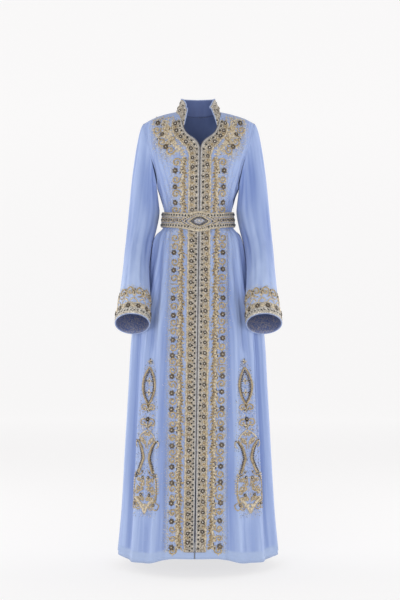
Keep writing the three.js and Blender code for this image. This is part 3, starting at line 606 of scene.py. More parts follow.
class Recipe:
    def __init__(self, name):
        self.material = bpy.data.materials.new(name)
        self.material.use_nodes = True
        self.tree = self.material.node_tree
        self.tree.nodes.clear()

    # One node: its type, its settings, then a value or a wire for each of its inputs.
    def node(self, kind, settings=None, inputs=None, output=0):
        made = self.tree.nodes.new(kind)
        for key, value in (settings or {}).items():
            setattr(made, key, value)
        for key, value in (inputs or {}).items():
            if isinstance(value, Wire):
                self.tree.links.new(value.socket, made.inputs[key])
            else:
                made.inputs[key].default_value = value
        return Wire(self, made.outputs[output]) if made.outputs else None

    def blend(self, share, first, second):
        return self.node("ShaderNodeMix", {"data_type": "RGBA"}, {0: share, 6: first, 7: second}, 2)

    def attribute(self, name):
        return self.node("ShaderNodeAttribute", {"attribute_name": name}, output="Fac")

    # One axis of the place on the piece, as "Object" or "UV" gives it.
    def axis(self, source, name):
        coordinates = self.node("ShaderNodeTexCoord", output=source)
        return self.node("ShaderNodeSeparateXYZ", None, {0: coordinates}, name)

    def place(self, scale=(1, 1, 1)):
        objectPlace = self.node("ShaderNodeTexCoord", output="Object")
        return self.node("ShaderNodeMapping", None, {"Vector": objectPlace, "Scale": scale})

    def noise(self, scale, detail=2.0, stretch=(1, 1, 1)):
        inputs = {"Vector": self.place(stretch), "Scale": scale, "Detail": detail}
        return self.node("ShaderNodeTexNoise", None, inputs, "Fac")

    def cells(self, scale):
        return self.node("ShaderNodeTexVoronoi", None, {"Vector": self.place(), "Scale": scale}, "Distance")

    # Each cell's own number, from its colour's red or green.
    def ownNumber(self, scale, part="Red"):
        colour = self.node("ShaderNodeTexVoronoi", None, {"Vector": self.place(), "Scale": scale}, "Color")
        return self.node("ShaderNodeSeparateColor", None, {0: colour}, part)

    def bump(self, height, distance, strength=1.0):
        inputs = {"Height": height, "Distance": distance, "Strength": strength}
        return self.node("ShaderNodeBump", None, inputs)

    def finish(self, inputs):
        shader = self.node("ShaderNodeBsdfPrincipled", None, inputs)
        self.node("ShaderNodeOutputMaterial", None, {"Surface": shader})
        return self.material


# A colour given as it looks on a screen, 0 to 255.
def paint(red, green, blue):
    screen = np.array([red, green, blue]) / 255
    linear = np.where(screen <= 0.04045, screen / 12.92, ((screen + 0.055) / 1.055) ** 2.4)
    return (*linear.tolist(), 1.0)


# The cloth's first two colours are a painted highlight, for its ridges, and a painted shade, for its hollows and
# creases; tone and the three numbers after it set how far the folds move the colour between them.
cloth = {
    "light": paint(190, 207, 240), "deep": paint(106, 128, 187), "lining": paint(92, 110, 162),
    "sheerTop": 0.034, "sheerAlpha": 0.86, "streaks": 46, "grain": 1400, "speck": 430, "pleats": 15,
    "tone": 0.52, "toneDepth": 24, "hemTone": 0.6, "hemEvens": 0.5,
}


# Tiny stitches and beads on the cloth: cells whose own number is under the share of worked cloth.
def speckled(r, colour):
    number = r.ownNumber(cloth["speck"])
    tint = r.ownNumber(cloth["speck"], "Green")
    close = 1 - r.cells(cloth["speck"]).between(0.35, 0.62)
    held = (r.attribute("worked") - number).between(-0.02, 0.04) * close
    thread = r.blend(tint.between(0.45, 0.55), paint(196, 178, 142), paint(222, 220, 214))
    thread = r.blend(tint.between(0.82, 0.88), thread, paint(98, 88, 76))
    return r.blend(held, colour, thread), held


def georgette():
    r = Recipe("georgette")
    streaks = r.noise(cloth["streaks"], 3.0, (1, 1, 0.05))
    grain = r.noise(cloth["grain"], 2.0)
    flare = {"X": r.attribute("around") * cloth["pleats"], "Y": r.axis("Object", "Z") * 1.3}
    inputs = {"Vector": r.node("ShaderNodeCombineXYZ", None, flare), "Scale": 1.0, "Detail": 2.0}
    pleats = r.node("ShaderNodeTexNoise", {"noise_dimensions": "2D"}, inputs, "Fac")
    # The colour runs from the painted shade to the painted highlight in three ways. The attribute of painted
    # fold shade makes it lighter on ridges and darker in hollows and creases. The pleat bands, which also raise
    # the bump, add their own painted shade. Long up-and-down streaks and a fine grain vary it too.
    tone = pleats.between(0.36, 0.64) * 0.18 + streaks.between(0.25, 0.75) * 0.12
    tone = tone + grain * 0.12 + r.attribute("fold") * 0.58
    height = r.axis("UV", "Y") + (r.noise(9.0) - 0.5) * 0.014
    solid = height.between(cloth["sheerTop"] - 0.006, cloth["sheerTop"] + 0.005)
    colour = r.blend(tone, cloth["deep"], cloth["light"])
    bare = r.blend(solid, paint(168, 187, 224), colour)
    worked, held = speckled(r, bare)
    return r.finish({
        "Base Color": worked,
        "Roughness": 0.8,
        "Sheen Weight": 0.3,
        "Sheen Roughness": 0.45,
        "Sheen Tint": paint(214, 224, 248),
        "Specular IOR Level": 0.2,
        "Alpha": solid * (1 - cloth["sheerAlpha"]) + cloth["sheerAlpha"],
        "Normal": r.bump(pleats * 4 + streaks * 0.7 + grain * 0.3 + held * 0.5, 0.0006, 0.6),
    })


def liningCloth(name, sheer, deep, pale):
    r = Recipe(name)
    tone = r.noise(60, 3.0, (1, 1, 0.1))
    inputs = {
        "Base Color": r.blend(tone, deep, pale),
        "Roughness": 0.7,
        "Sheen Weight": 0.2,
        "Normal": r.bump(r.noise(900, 2.0), 0.0003, 0.5),
    }
    if sheer:
        solid = r.axis("UV", "Y").between(cloth["sheerTop"] - 0.003, cloth["sheerTop"] + 0.001)
        inputs["Alpha"] = solid * 0.4 + 0.6
    return r.finish(inputs)


# Close rows of metal thread: pale and dark stitches about 2 mm across, with cloth between them.
def stitched(name, pale, middle, dark, scale=420.0, ground=None, strip=None):
    r = Recipe(name)
    stitch = r.cells(scale)
    turn = r.ownNumber(scale)
    rows = r.noise(150, 3.0)
    base = r.blend(turn.between(0.15, 0.85), dark, pale)
    base = r.blend(rows.between(0.35, 0.65) * 0.6, base, middle)
    base = r.blend(stitch.between(0.5, 0.85) * 0.7, base, ground or dark)
    if strip:
        up = r.axis("UV", "Y")
        held = up.between(0.28, 0.32) * (1 - up.between(0.68, 0.72))
        base = r.blend(held * (0.5 + turn * 0.4), base, strip)
    return r.finish({
        "Base Color": base,
        "Metallic": 0.12,
        "Roughness": 0.45,
        "Normal": r.bump(1 - stitch, 0.001, 0.7),
    })


# A twisted cord: slanting bands along its length.
def corded(name, pale, dark, pitch=2.2, metallic=0.4, rough=0.42):
    r = Recipe(name)
    phase = r.axis("UV", "X") * (2 * math.pi / pitch) + r.axis("UV", "Y") * (2 * math.pi)
    wave = r.node("ShaderNodeMath", {"operation": "SINE"}, {0: phase}) * 0.5 + 0.5
    tone = wave * 0.3 + r.noise(190, 2.0).between(0.25, 0.75) * 0.55 + 0.15
    return r.finish({
        "Base Color": r.blend(tone.between(0.1, 1.0), dark, pale),
        "Metallic": metallic,
        "Roughness": rough,
        "Normal": r.bump(wave, 0.0004, 0.6),
    })


# Stones and beads that glint, each patch with its own tone.
def glinting(name, pale, dark, metallic, rough, coat, scale=260.0):
    r = Recipe(name)
    share = r.ownNumber(scale)
    return r.finish({
        "Base Color": r.blend(share, dark, pale),
        "Metallic": metallic,
        "Roughness": share * 0.15 + rough,
        "Coat Weight": coat,
        "Coat Roughness": 0.08,
        "Normal": r.bump(r.noise(500, 2.0), 0.0003, 0.4),
    })


georgetteCloth = georgette()
lining = liningCloth("lining", True, cloth["lining"], paint(112, 132, 184))
innerCloth = liningCloth("innerCloth", False, paint(84, 100, 150), paint(104, 122, 172))


# Each finish by its maker, with its pale, middle and dark colours, then its own numbers.
def painted(maker, name, colours, *numbers, **named):
    return maker(name, *[paint(*colour) for colour in colours], *numbers, **named)


facing = painted(stitched, "facing", [(172, 166, 164), (104, 120, 168), (84, 100, 150)], 360.0,
                 paint(90, 106, 158))
bandThread = painted(stitched, "bandThread", [(220, 210, 196), (172, 163, 150), (114, 104, 92)])
beltThread = painted(stitched, "beltThread", [(250, 242, 228), (214, 206, 192), (156, 146, 130)],
                     strip=paint(138, 152, 190))
bossThread = painted(stitched, "bossThread", [(196, 200, 214), (160, 164, 182), (108, 110, 124)], 520.0)
cuffThread = painted(stitched, "cuffThread", [(246, 241, 232), (210, 205, 196), (152, 146, 138)])
kinds = {
    "seam": painted(corded, "seamCord", [(180, 197, 234), (156, 175, 220)], 3.2, 0.0, 0.7),
    "gold": painted(corded, "goldThread", [(232, 219, 194), (154, 137, 111)], 2.2, 0.12, 0.45),
    "thread": painted(corded, "curlThread", [(216, 195, 156), (126, 107, 80)], 1.8, 0.1, 0.45),
    "silver": painted(glinting, "silverBead", [(242, 238, 230), (186, 178, 168)], 0.0, 0.3, 0.4),
    "bronze": painted(glinting, "bronze", [(118, 103, 84), (56, 48, 41)], 0.3, 0.32, 0.3),
    "dark": painted(glinting, "darkStone", [(58, 58, 54), (26, 28, 28)], 0.1, 0.16, 0.6),
    "pale": painted(glinting, "paleStone", [(236, 228, 210), (184, 172, 150)], 0.0, 0.16, 0.8),
    "stone": painted(glinting, "blueStone", [(160, 174, 206), (104, 120, 162)], 0.05, 0.2, 0.8),
    "piping": painted(corded, "piping", [(200, 198, 196), (148, 146, 150)], 3.2, 0.1, 0.42),
    "ring": painted(glinting, "ringStone", [(98, 84, 68), (48, 43, 37)], 0.15, 0.26, 0.5),
    "edge": painted(corded, "edgeCord", [(176, 192, 226), (132, 150, 194)], 3.2, 0.05, 0.5),
    # The next two are painted shade: a dark cord and a grey cord for the shaded gap down the front opening.
    "shade": painted(corded, "seamShade", [(58, 62, 80), (32, 38, 58)], 3.2, 0.0, 0.6),
    "line": painted(corded, "seamLine", [(118, 112, 110), (84, 80, 84)], 3.2, 0.0, 0.6),
    "amber": painted(corded, "amberThread", [(198, 178, 142), (112, 95, 72)], 2.0, 0.12, 0.42),
}
print("materials ready")


def keep(piece, slot, *nodes):
    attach(piece, "root")
    if nodes:
        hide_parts(*nodes)
    return piece


# Places of a front or of the back between its four edges: two ruled patches less the one between corners.
def panelGrid(tops, topZ, middleTop, armholeX, placed, lowerZ):
    v = np.linspace(0, 1, 34)[:, None]
    low = cut["underarm"]
    u = (tops / cut["shoulderHalf"])[None]
    down = [mix(tops, placed(low), v), mix(topZ, low, v)]
    outerZ = mix(-cut["shoulderDrop"], low, v)
    inner, outer = [0 * v, mix(middleTop, low, v)], [armholeX(outerZ), outerZ]
    places = []
    for k in range(2):
        corners = mix(mix(inner[k][0], outer[k][0], u), mix(inner[k][-1], outer[k][-1], u), v)
        places.append(down[k] + mix(inner[k], outer[k], u) - corners)
    lowerX = np.stack([placed(z) for z in lowerZ])
    x = np.concatenate([places[0], lowerX])
    z = np.concatenate([places[1], np.broadcast_to(lowerZ[:, None], lowerX.shape)])
    return x, z


lowerZ = np.concatenate([np.linspace(-266, -420, 32), np.linspace(-430, cut["hem"], 76)])
flatTops = [0, 6, 17, 34, 54, 63, 69, 71]
flatXs = [0, 5, 15, 30, 46, 60, 74, cut["flatHalf"]]
foldShares = [0, 0.07, 0.16, 0.23, 0.3, 0.37, 0.44, 0.51, 0.58, 0.67, 0.76, 0.84, 0.92, 1]
foldTops = np.linspace(cut["neckHalf"], cut["shoulderHalf"], 14)


# Painted shade of the folds: the cloth's colour is lighter on ridges and darker in hollows, by how far the cloth
# stands out, and towards the hem it is pulled to one even, lighter tone.
def paintedShadeOf(out, z):
    tone = np.clip(cloth["tone"] + out / cloth["toneDepth"], 0, 1)
    return mix(tone, cloth["hemTone"], cloth["hemEvens"] * smooth(-z, 1160, 1340))


# Where the front is worked with tiny beads: the share of its cells that hold one.
worked = {
    "column": 0.15, "chest": 0.17, "ornament": 0.2, "sleeve": 0.22,
    "chestEdge": ([-330, -175, -140, -105, -60, -20], [80, 88, 112, 132, 146, 140]),
}


def workedAt(side, x, z):
    share = worked["column"] * smooth(x, 34, 44) * (1 - smooth(x, 80, 104)) * smooth(-z, 150, 180)
    edge = np.interp(z, *worked["chestEdge"])
    onChest = smooth(x, 30, 44) * (1 - smooth(x, edge - 8, edge + 16)) * smooth(z, -190, -165)
    share = np.maximum(share, worked["chest"] * onChest)
    off = np.abs(x - ornamentMiddle(side, z))
    wide = np.interp(z, *ornament["wide"])
    tall = smooth(z, -1310, -1285) * (1 - smooth(z, -812, -790))
    share = np.maximum(share, worked["ornament"] * (1 - smooth(off, wide - 3, wide + 16)) * tall)
    return share * smooth(z, -1425, -1405)


# A panel in two, for the bodice and the skirt, whose edges meet under the belt.
def waistCut(points, normals, x, z, sense, name, fold, beaded, around):
    uv = pair(x, z - cut["hem"]) * 0.001
    row = int(np.argmax(z[:, 0] < cut["waist"]))
    pieces = []
    for part, rows in (("bodice", slice(None, row)), ("skirt", slice(row, None))):
        vertices, faces, slots = wallOf(points[rows], normals[rows], cut["wall"], sense)
        shades = {"fold": fold, "worked": beaded, "around": around}
        values = {key: doubled(value[rows, :, None]) for key, value in shades.items()}
        outer = [georgetteCloth, lining]
        piece = addMesh(f"{part}_{name}_cloth", vertices, [faces], outer, slots, doubled(uv[rows]), values)
        pieces.append(keep(piece, "georgette", f"{part}_{name}"))
    return pieces


# Places along the top edge: across the neck, then along the shoulder.
def topEdge(neckCount, shoulderCount):
    neck, shoulder = cut["neckHalf"], cut["shoulderHalf"]
    return np.concatenate([np.linspace(0, neck, neckCount), np.linspace(neck, shoulder, shoulderCount)[1:]])


def frontPanel(side, name):
    tops = topEdge(46, 66)

    def placed(z):
        edge = math.asin(cut["flatHalf"] / halfAt(np.float64(z)))
        share = np.interp(tops, foldTops, foldShares)
        turned = halfAt(np.float64(z)) * np.sin(mix(edge, np.pi / 2, share))
        return np.where(tops <= cut["neckHalf"], np.interp(tops, flatTops, flatXs), turned)

    topZ = np.where(tops <= cut["neckHalf"], necklineAt(tops), -shoulderSlope * (tops - cut["neckHalf"]))
    x, z = panelGrid(tops, topZ, cut["neckPoint"], armholeAt["front"], placed, lowerZ)
    surface = frontSurface(side)
    points = surface(x, z)
    across, down = np.gradient(points, axis=1), np.gradient(points, axis=0)
    normals = unit(side * np.cross(down, across))
    fold = paintedShadeOf(frontOut(side, x, z), z)
    around = side * np.arcsin(np.clip(x / halfAt(z), 0, 1))
    return waistCut(points, normals, x, z, -side, f"front_{name}", fold, workedAt(side, x, z), around)


def backPanel():
    tops = topEdge(29, 42)
    neck, drop = cut["neckHalf"], cut["backNeckDrop"]
    beyond = (cut["shoulderHalf"] - tops) / (cut["shoulderHalf"] - neck)
    shares = np.where(tops <= neck, 1 - 0.4 * tops / neck, 0.6 * beyond)
    topZ = np.where(tops <= neck, -drop * (1 - (tops / neck) ** 2), -shoulderSlope * (tops - neck))

    def placed(z):
        return halfAt(np.float64(z)) * np.cos(shares * np.pi / 2)

    x, z = panelGrid(tops, topZ, -drop, armholeAt["back"], placed, lowerZ)
    halves = [(backSurface(side)(x, z), side * x, z, paintedShadeOf(backOut(side, x, z), z)) for side in (-1, 1)]
    points, x, z, fold = (np.concatenate([right[:, ::-1], left[:, 1:]], 1) for right, left in zip(*halves))
    normals = unit(-np.cross(np.gradient(points, axis=0), np.gradient(points, axis=1)))
    around = 4 - np.arcsin(np.clip(x / halfAt(z), -1, 1))
    return waistCut(points, normals, x, z, 1, "back", fold, 0 * fold, around)


def sleeveRow(z):
    return 1 + (arm["z"][0] - np.asarray(z, float)) / (arm["z"][0] - arm["z"][-1])


def sleeveHeight(t):
    return arm["z"][0] - (arm["z"][0] - arm["z"][-1]) * np.clip(t - 1, 0, 1)


# The rows near the first ring are evened out, so that no edge shows there.
sleeveGrid = {"round": 96, "cap": 36, "rings": 40, "evened": (0.75, 1.25), "times": 22, "facing": -640}


def sleevePiece(side, name):
    angles = np.linspace(0, 360, sleeveGrid["round"] + 1)[:-1]
    t = np.concatenate([np.linspace(0, 1, sleeveGrid["cap"]), np.linspace(1, 2, sleeveGrid["rings"])[1:]])
    points = sleeveSurface(side)(angles[None], t[:, None])
    low, high = sleeveGrid["evened"]
    near = ((t > low) & (t < high))[:, None, None]
    for _ in range(sleeveGrid["times"]):
        middle = points.copy()
        middle[1:-1] = (points[:-2] + 2 * points[1:-1] + points[2:]) / 4
        points = np.where(near, middle, points)
    wrapped = np.concatenate([points[:, -1:], points, points[:, :1]], 1)
    across, down = np.gradient(wrapped, axis=1)[:, 1:-1], np.gradient(points, axis=0)
    normals = unit(-side * np.cross(down, across))
    vertices, faces, slots = wallOf(points, normals, cut["wall"], side, True)
    rows = np.broadcast_to(t[:, None], points.shape[:2])
    count = (len(t) - 1) * len(angles)
    isFaced = np.repeat(t[1:] > sleeveRow(sleeveGrid["facing"]), len(angles))
    slots[count : 2 * count] = np.where(isFaced, 2, 1)
    outward = np.cos(np.radians(angles))[None] + 0 * rows
    z = points[..., 2]
    # Painted light and shade on the sleeve: lighter on its outer side and darker towards the body, darker in its
    # creases, and much lighter on the forearm.
    fold = 0.5 + 0.14 * outward - sleeveDepth(angles[None], z) / 9
    fold = np.clip(fold + 0.42 * smooth(-sleeveHeight(rows), 430, 600), 0, 1)
    shades = {"fold": fold, "worked": worked["sleeve"] * smooth(-sleeveHeight(rows), 585, 640),
              "around": 8 + side + 0.13 * np.radians(np.abs(angles - 180))[None] + 0 * rows}
    values = {key: doubled(value[..., None]) for key, value in shades.items()}
    uv = pair(angles[None] / 360, 0.06 + 0 * rows)
    cloths = [georgetteCloth, lining, facing]
    piece = addMesh(f"sleeve_{name}_cloth", vertices, [faces], cloths, slots, doubled(uv), values)
    return keep(piece, "georgette", f"sleeve_{name}")


frontPanel(1, "left")
frontPanel(-1, "right")
backPanel()
sleevePiece(1, "left")
sleevePiece(-1, "right")
print("cloth ready")

# The collar, from its front point (0) round to the middle of the back (8): its free edge, and where it
# joins the neckline.
collar = {
    "free": np.array([
        [52.5, -67, -50], [45, -59, -20], [38.5, -47, 8], [50, -24, 37], [56, 0, 41],
        [53, 25, 43], [41, 46, 45], [22, 59, 46], [0, 64, 46],
    ], float),
    "bow": 2.0, "thick": 2.2, "lap": 1.07, "seam": 0.6,
}


def collarSewn():
    frontX = np.array([54, 63, 69, cut["neckHalf"]], float)
    backX = cut["neckHalf"] * np.array([0.8, 0.6, 0.4, 0.2, 0])
    inFront = onForm(frontX, necklineAt(frontX), -1, 0 * frontX)
    behind = onForm(backX, -cut["backNeckDrop"] * (1 - (backX / cut["neckHalf"]) ** 2), 1, 0 * backX)
    edge = np.concatenate([inFront, behind])
    return edge + unit(pair(-edge[:, 0], -edge[:, 1], cut["neckHalf"])) * collar["seam"]


sewnEdge = collarSewn()
freeAt = [through(np.arange(9), collar["free"][:, k]) for k in range(3)]
sewnAt = [through(np.arange(9), sewnEdge[:, k]) for k in range(3)]


def collarSurface(side):
    def surface(t, w):
        t, w = np.broadcast_arrays(np.asarray(t, float), np.asarray(w, float))
        free, sewn = (pair(*[curve(t) for curve in curves]) for curves in (freeAt, sewnAt))
        away = unit(pair(free[..., 0], free[..., 1], 30))
        p = mix(free, sewn, w[..., None]) + away * (collar["bow"] * 4 * w * (1 - w))[..., None]
        p[..., 0] = side * p[..., 0] + leanShift(p[..., 0], p[..., 2]) * smooth(t, 4, 0)
        return p

    return surface


def collarPiece():
    t = np.linspace(0, 8, 84)
    w = np.linspace(0, collar["lap"], 13)
    left, right = (collarSurface(side)(t[None], w[:, None]) for side in (1, -1))
    points = np.concatenate([left, right[:, -2::-1]], 1)
    normals = unit(np.cross(np.gradient(points, axis=0), np.gradient(points, axis=1)))
    return bandWall("collar_band", "collar", points, normals, collar["thick"], -1, bandThread)


collarPiece()

# The braid of the front edge: its inner and outer edges round the neckline, then straight to the hem.
bandTurns = np.array([
    [62, -34, 79, -39], [59, -42, 88, -49], [55, -56, 88, -65], [47.5, -73.5, 75, -93],
    [32.5, -88.5, 56, -113], [16.5, -100.5, 44, -127], [6.5, -113.5, 37, -141], [1.6, -129, 34, -156],
], float)
band = {
    "width": 33, "inset": 1.2, "lobe": 3.2, "pitch": 33, "top": -172, "end": -1415, "lift": 1.6, "thick": 1.5,
    "ringBefore": 172 - 158.6, "dotPitch": 16.4, "ringSize": 6.3, "neckRings": [8.0, 32.0, 53.0, 78.0, 104.0],
    "lowDots": 240, "silver": 1250, "bronze": 650,
}
straightZ = np.linspace(band["top"], band["end"], 60)
straight = pair(band["inset"] + slitAt(straightZ), straightZ, band["width"], straightZ)
bandRows = np.concatenate([bandTurns, straight])
bandMiddle = (bandRows[:, :2] + bandRows[:, 2:]) / 2
bandRun = np.concatenate([[0], np.cumsum(np.linalg.norm(np.diff(bandMiddle, axis=0), axis=1))])
bandAt = [through(bandRun, bandRows[:, k]) for k in range(4)]
bandLength = bandRun[-1]
slitRun = bandLength + band["end"] - cut["slitTop"]
ringPhase = bandRun[len(bandTurns)] - band["ringBefore"]


# A place on the braid: s along it from the neck, w across from the inner edge. Lobes round each stone
# swell its outer edge by lobe * |cos|^0.7.
def bandPlace(s, w):
    s, w = np.broadcast_arrays(np.asarray(s, float), np.asarray(w, float))
    lobes = band["lobe"] * (np.abs(np.cos(np.pi * (s - ringPhase) / band["pitch"])) ** 0.7 - 0.6)
    inner, outer = pair(bandAt[0](s), bandAt[1](s)), pair(bandAt[2](s), bandAt[3](s))
    run = unit(outer - inner)
    return mix(inner, outer, w[..., None]) + run * (lobes * w)[..., None]


def bandPiece(side, name):
    w = np.linspace(0, 1, 7)[None]
    place = bandPlace(np.linspace(0, bandLength, 460)[:, None], w)
    dome = band["lift"] + band["thick"] + 0.5 * np.sin(np.pi * w) + 0 * place[..., 0]
    points, normals, _, _ = onSurface(frontSurface(side), place[..., 0], place[..., 1], dome, side)
    node = f"placket_{name}"
    return bandWall(f"{node}_band", node, points, normals, band["thick"], -side, bandThread)


bandPiece(1, "left")
bandPiece(-1, "right")

# The belt: its edges at places along its front, then level round the sides and back.
belt = {"x": [0, 20, 36, 66, 95, 116], "top": [-328, -330, -334, -333, -330, -327],
        "bottom": [-394, -391, -386, -381, -378, -375], "lift": 4.8, "thick": 2.6, "middle": -361,
        "half": 111.5, "bossHalf": 30, "bossTall": 16.5}
beltTopAt = through(belt["x"], belt["top"])
beltBottomAt = through(belt["x"], belt["bottom"])


def beltSurface(degrees, share):
    degrees, share = np.broadcast_arrays(np.asarray(degrees, float), np.asarray(share, float))
    angle = np.radians(degrees)
    ahead = np.cos(angle) > 0
    along = np.where(ahead, np.abs(np.sin(angle)) * 116, 116.0)
    z = mix(beltTopAt(along), beltBottomAt(along), share)
    x = halfAt(z) * np.sin(angle)
    lift = np.full(z.shape, belt["lift"] + belt["thick"])
    p = np.where(ahead[..., None], onForm(x, z, -1, lift), onForm(x, z, 1, lift))
    p[..., 0] += leanShift(x, z)
    return p


beltStep = (0.3, 0.004)
sleeveStep = (0.5, 0.004)
collarStep = (0.04, 0.02)


def beltPiece():
    degrees, share = np.meshgrid(np.linspace(-180, 180, 241)[:-1], np.linspace(0, 1, 13))
    rim = 0.7 * np.exp(-(((share - 0.06) / 0.06) ** 2)) + 0.7 * np.exp(-(((share - 0.94) / 0.06) ** 2))
    points, normals, _, _ = onSurface(beltSurface, degrees, share, rim - 0.4, -1, beltStep)
    uv = pair(degrees / 360 + 0.5, share)
    return bandWall("belt_band", "belt", points, normals, belt["thick"] - 0.4, -1, beltThread, True, uv)


beltPiece()

# Cuffs, on the last part of each sleeve.
cuff = {"start": -653, "end": -686, "lift": 0.6, "thick": 1.5, "motifs": 11, "curlRadius": 18, "curlZ": -613}


def cuffPiece(side, name):
    rows = sleeveRow(np.linspace(cuff["start"], cuff["end"], 9))
    degrees, t = np.meshgrid(np.linspace(0, 360, 145)[:-1], rows)
    out = np.full(t.shape, cuff["lift"] + cuff["thick"])
    points, normals, _, _ = onSurface(sleeveSurface(side), degrees, t - 0.004, out, side, sleeveStep)
    node = f"cuff_{name}"
    return bandWall(f"{node}_band", node, points, normals, cuff["thick"], side, cuffThread, True)


cuffPiece(1, "left")
cuffPiece(-1, "right")
print("bands ready")


# Threads and stones are gathered by kind, for each part of the garment.
class Embroidery:
    def __init__(self, surface, sense, step=(0.5, 0.5), flipped=False):
        self.surface = surface
        self.sense = sense
        self.step = step
        self.flipped = flipped
        self.kinds = {}

    def sew(self, kind, paths, radius, lift, sides=5, flat=0.7, taper=0.35):
        made = threads(self.surface, self.sense, paths, radius, lift, sides, flat, taper, self.step)
        self.kinds.setdefault(kind, []).append(made)

    def set(self, kind, shape, places, sizes, spins=0.0, lift=0.5):
        if len(places):
            where = (self.surface, self.sense, shape, places)
            made = scattered(*where, sizes, spins, lift, self.flipped, self.step)
            self.kinds.setdefault(kind, []).append(made)

    # Seeds whose size varies from one size up by as much as more.
    def strew(self, kind, places, size, more, lift=0.5):
        self.set(kind, seed, places, size + more * rng.random(len(places)), 0, lift)


def frontWork(side):
    return Embroidery(frontSurface(side), side, flipped=side < 0)


# Spirals that wind in: r = radius * (1 - 0.8 t), turning from their start angle.
def spirals(places, radius, start, turns, way, points=30):
    places = np.atleast_2d(np.asarray(places, float))
    t = np.linspace(0, 1, points)[None]
    rows = [np.broadcast_to(np.asarray(v, float), len(places))[:, None] for v in (radius, start, way)]
    r = rows[0] * (1 - 0.8 * t)
    a = np.radians(rows[1]) + rows[2] * turns * 2 * np.pi * t
    return places[:, None] + pair(r * np.cos(a), r * np.sin(a))


# How far each place is along the line through them all.
def lengths(places):
    return np.concatenate([[0], np.cumsum(np.linalg.norm(np.diff(places, axis=0), axis=1))])


# A smooth path through a few places.
def stem(places, points=60):
    places = np.asarray(places, float)
    run = lengths(places)
    at = np.linspace(0, run[-1], points)
    path = pair(*[through(run, places[:, k])(at) for k in range(2)])
    for _ in range(3):
        path[1:-1] = (path[:-2] + 2 * path[1:-1] + path[2:]) / 4
    return path[None]


# Places along a path with its direction in degrees, every so many millimetres.
def along(path, pitch, start=0.0):
    run = lengths(path[0])
    at = np.arange(start, run[-1], pitch)

    def place(at):
        return pair(*[np.interp(at, run, path[0, :, k]) for k in range(2)])

    ahead = place(at + 1) - place(at - 1)
    return place(at), np.degrees(np.arctan2(ahead[:, 1], ahead[:, 0]))


# A stem with pairs of leaves that point forwards and out.
def leafyStem(work, places, thick, pitch, size, lift=0.8, open=48, kind="gold", leafKind="gold"):
    path = stem(places)
    work.sew(kind, path, thick, lift)
    place, heading = along(path, pitch, pitch * 0.5)
    grow = size * (0.75 + 0.25 * np.sin(np.pi * np.linspace(0.1, 0.9, len(place))))
    for turn in (-open, open):
        work.set(leafKind, leaf, place, grow, heading - 90 + turn, lift)


# Places between two values of each axis.
def strewn(count, low, high):
    return np.array(low, float) + rng.random((count, 2)) * (np.array(high, float) - np.array(low, float))


# A rosette: a dark flower with a pale bead, and seeds round it.
def rosettes(work, places, size, lift=0.6):
    places = np.atleast_2d(np.asarray(places, float))
    work.set("bronze", flower, places, size, rng.random(len(places)) * 60, lift)
    work.set("pale", bead, places, np.asarray(size) * 0.24, 0, lift + 1.6)


braidTop = band["lift"] + band["thick"] + 0.3
column = {
    "z": [-463, -517, -606, -659, -735, -785, -853, -903, -954, -1020, -1069, -1134, -1183, -1249, -1305, -1397],
    "top": -372, "foot": -1402, "x": 76, "shift": {1: (0, 3, 1), -1: (-4, 3, 0)}, "leftHigher": 3,
    "longGap": 62, "radii": (13.8, 12.6), "beyond": 84,
}


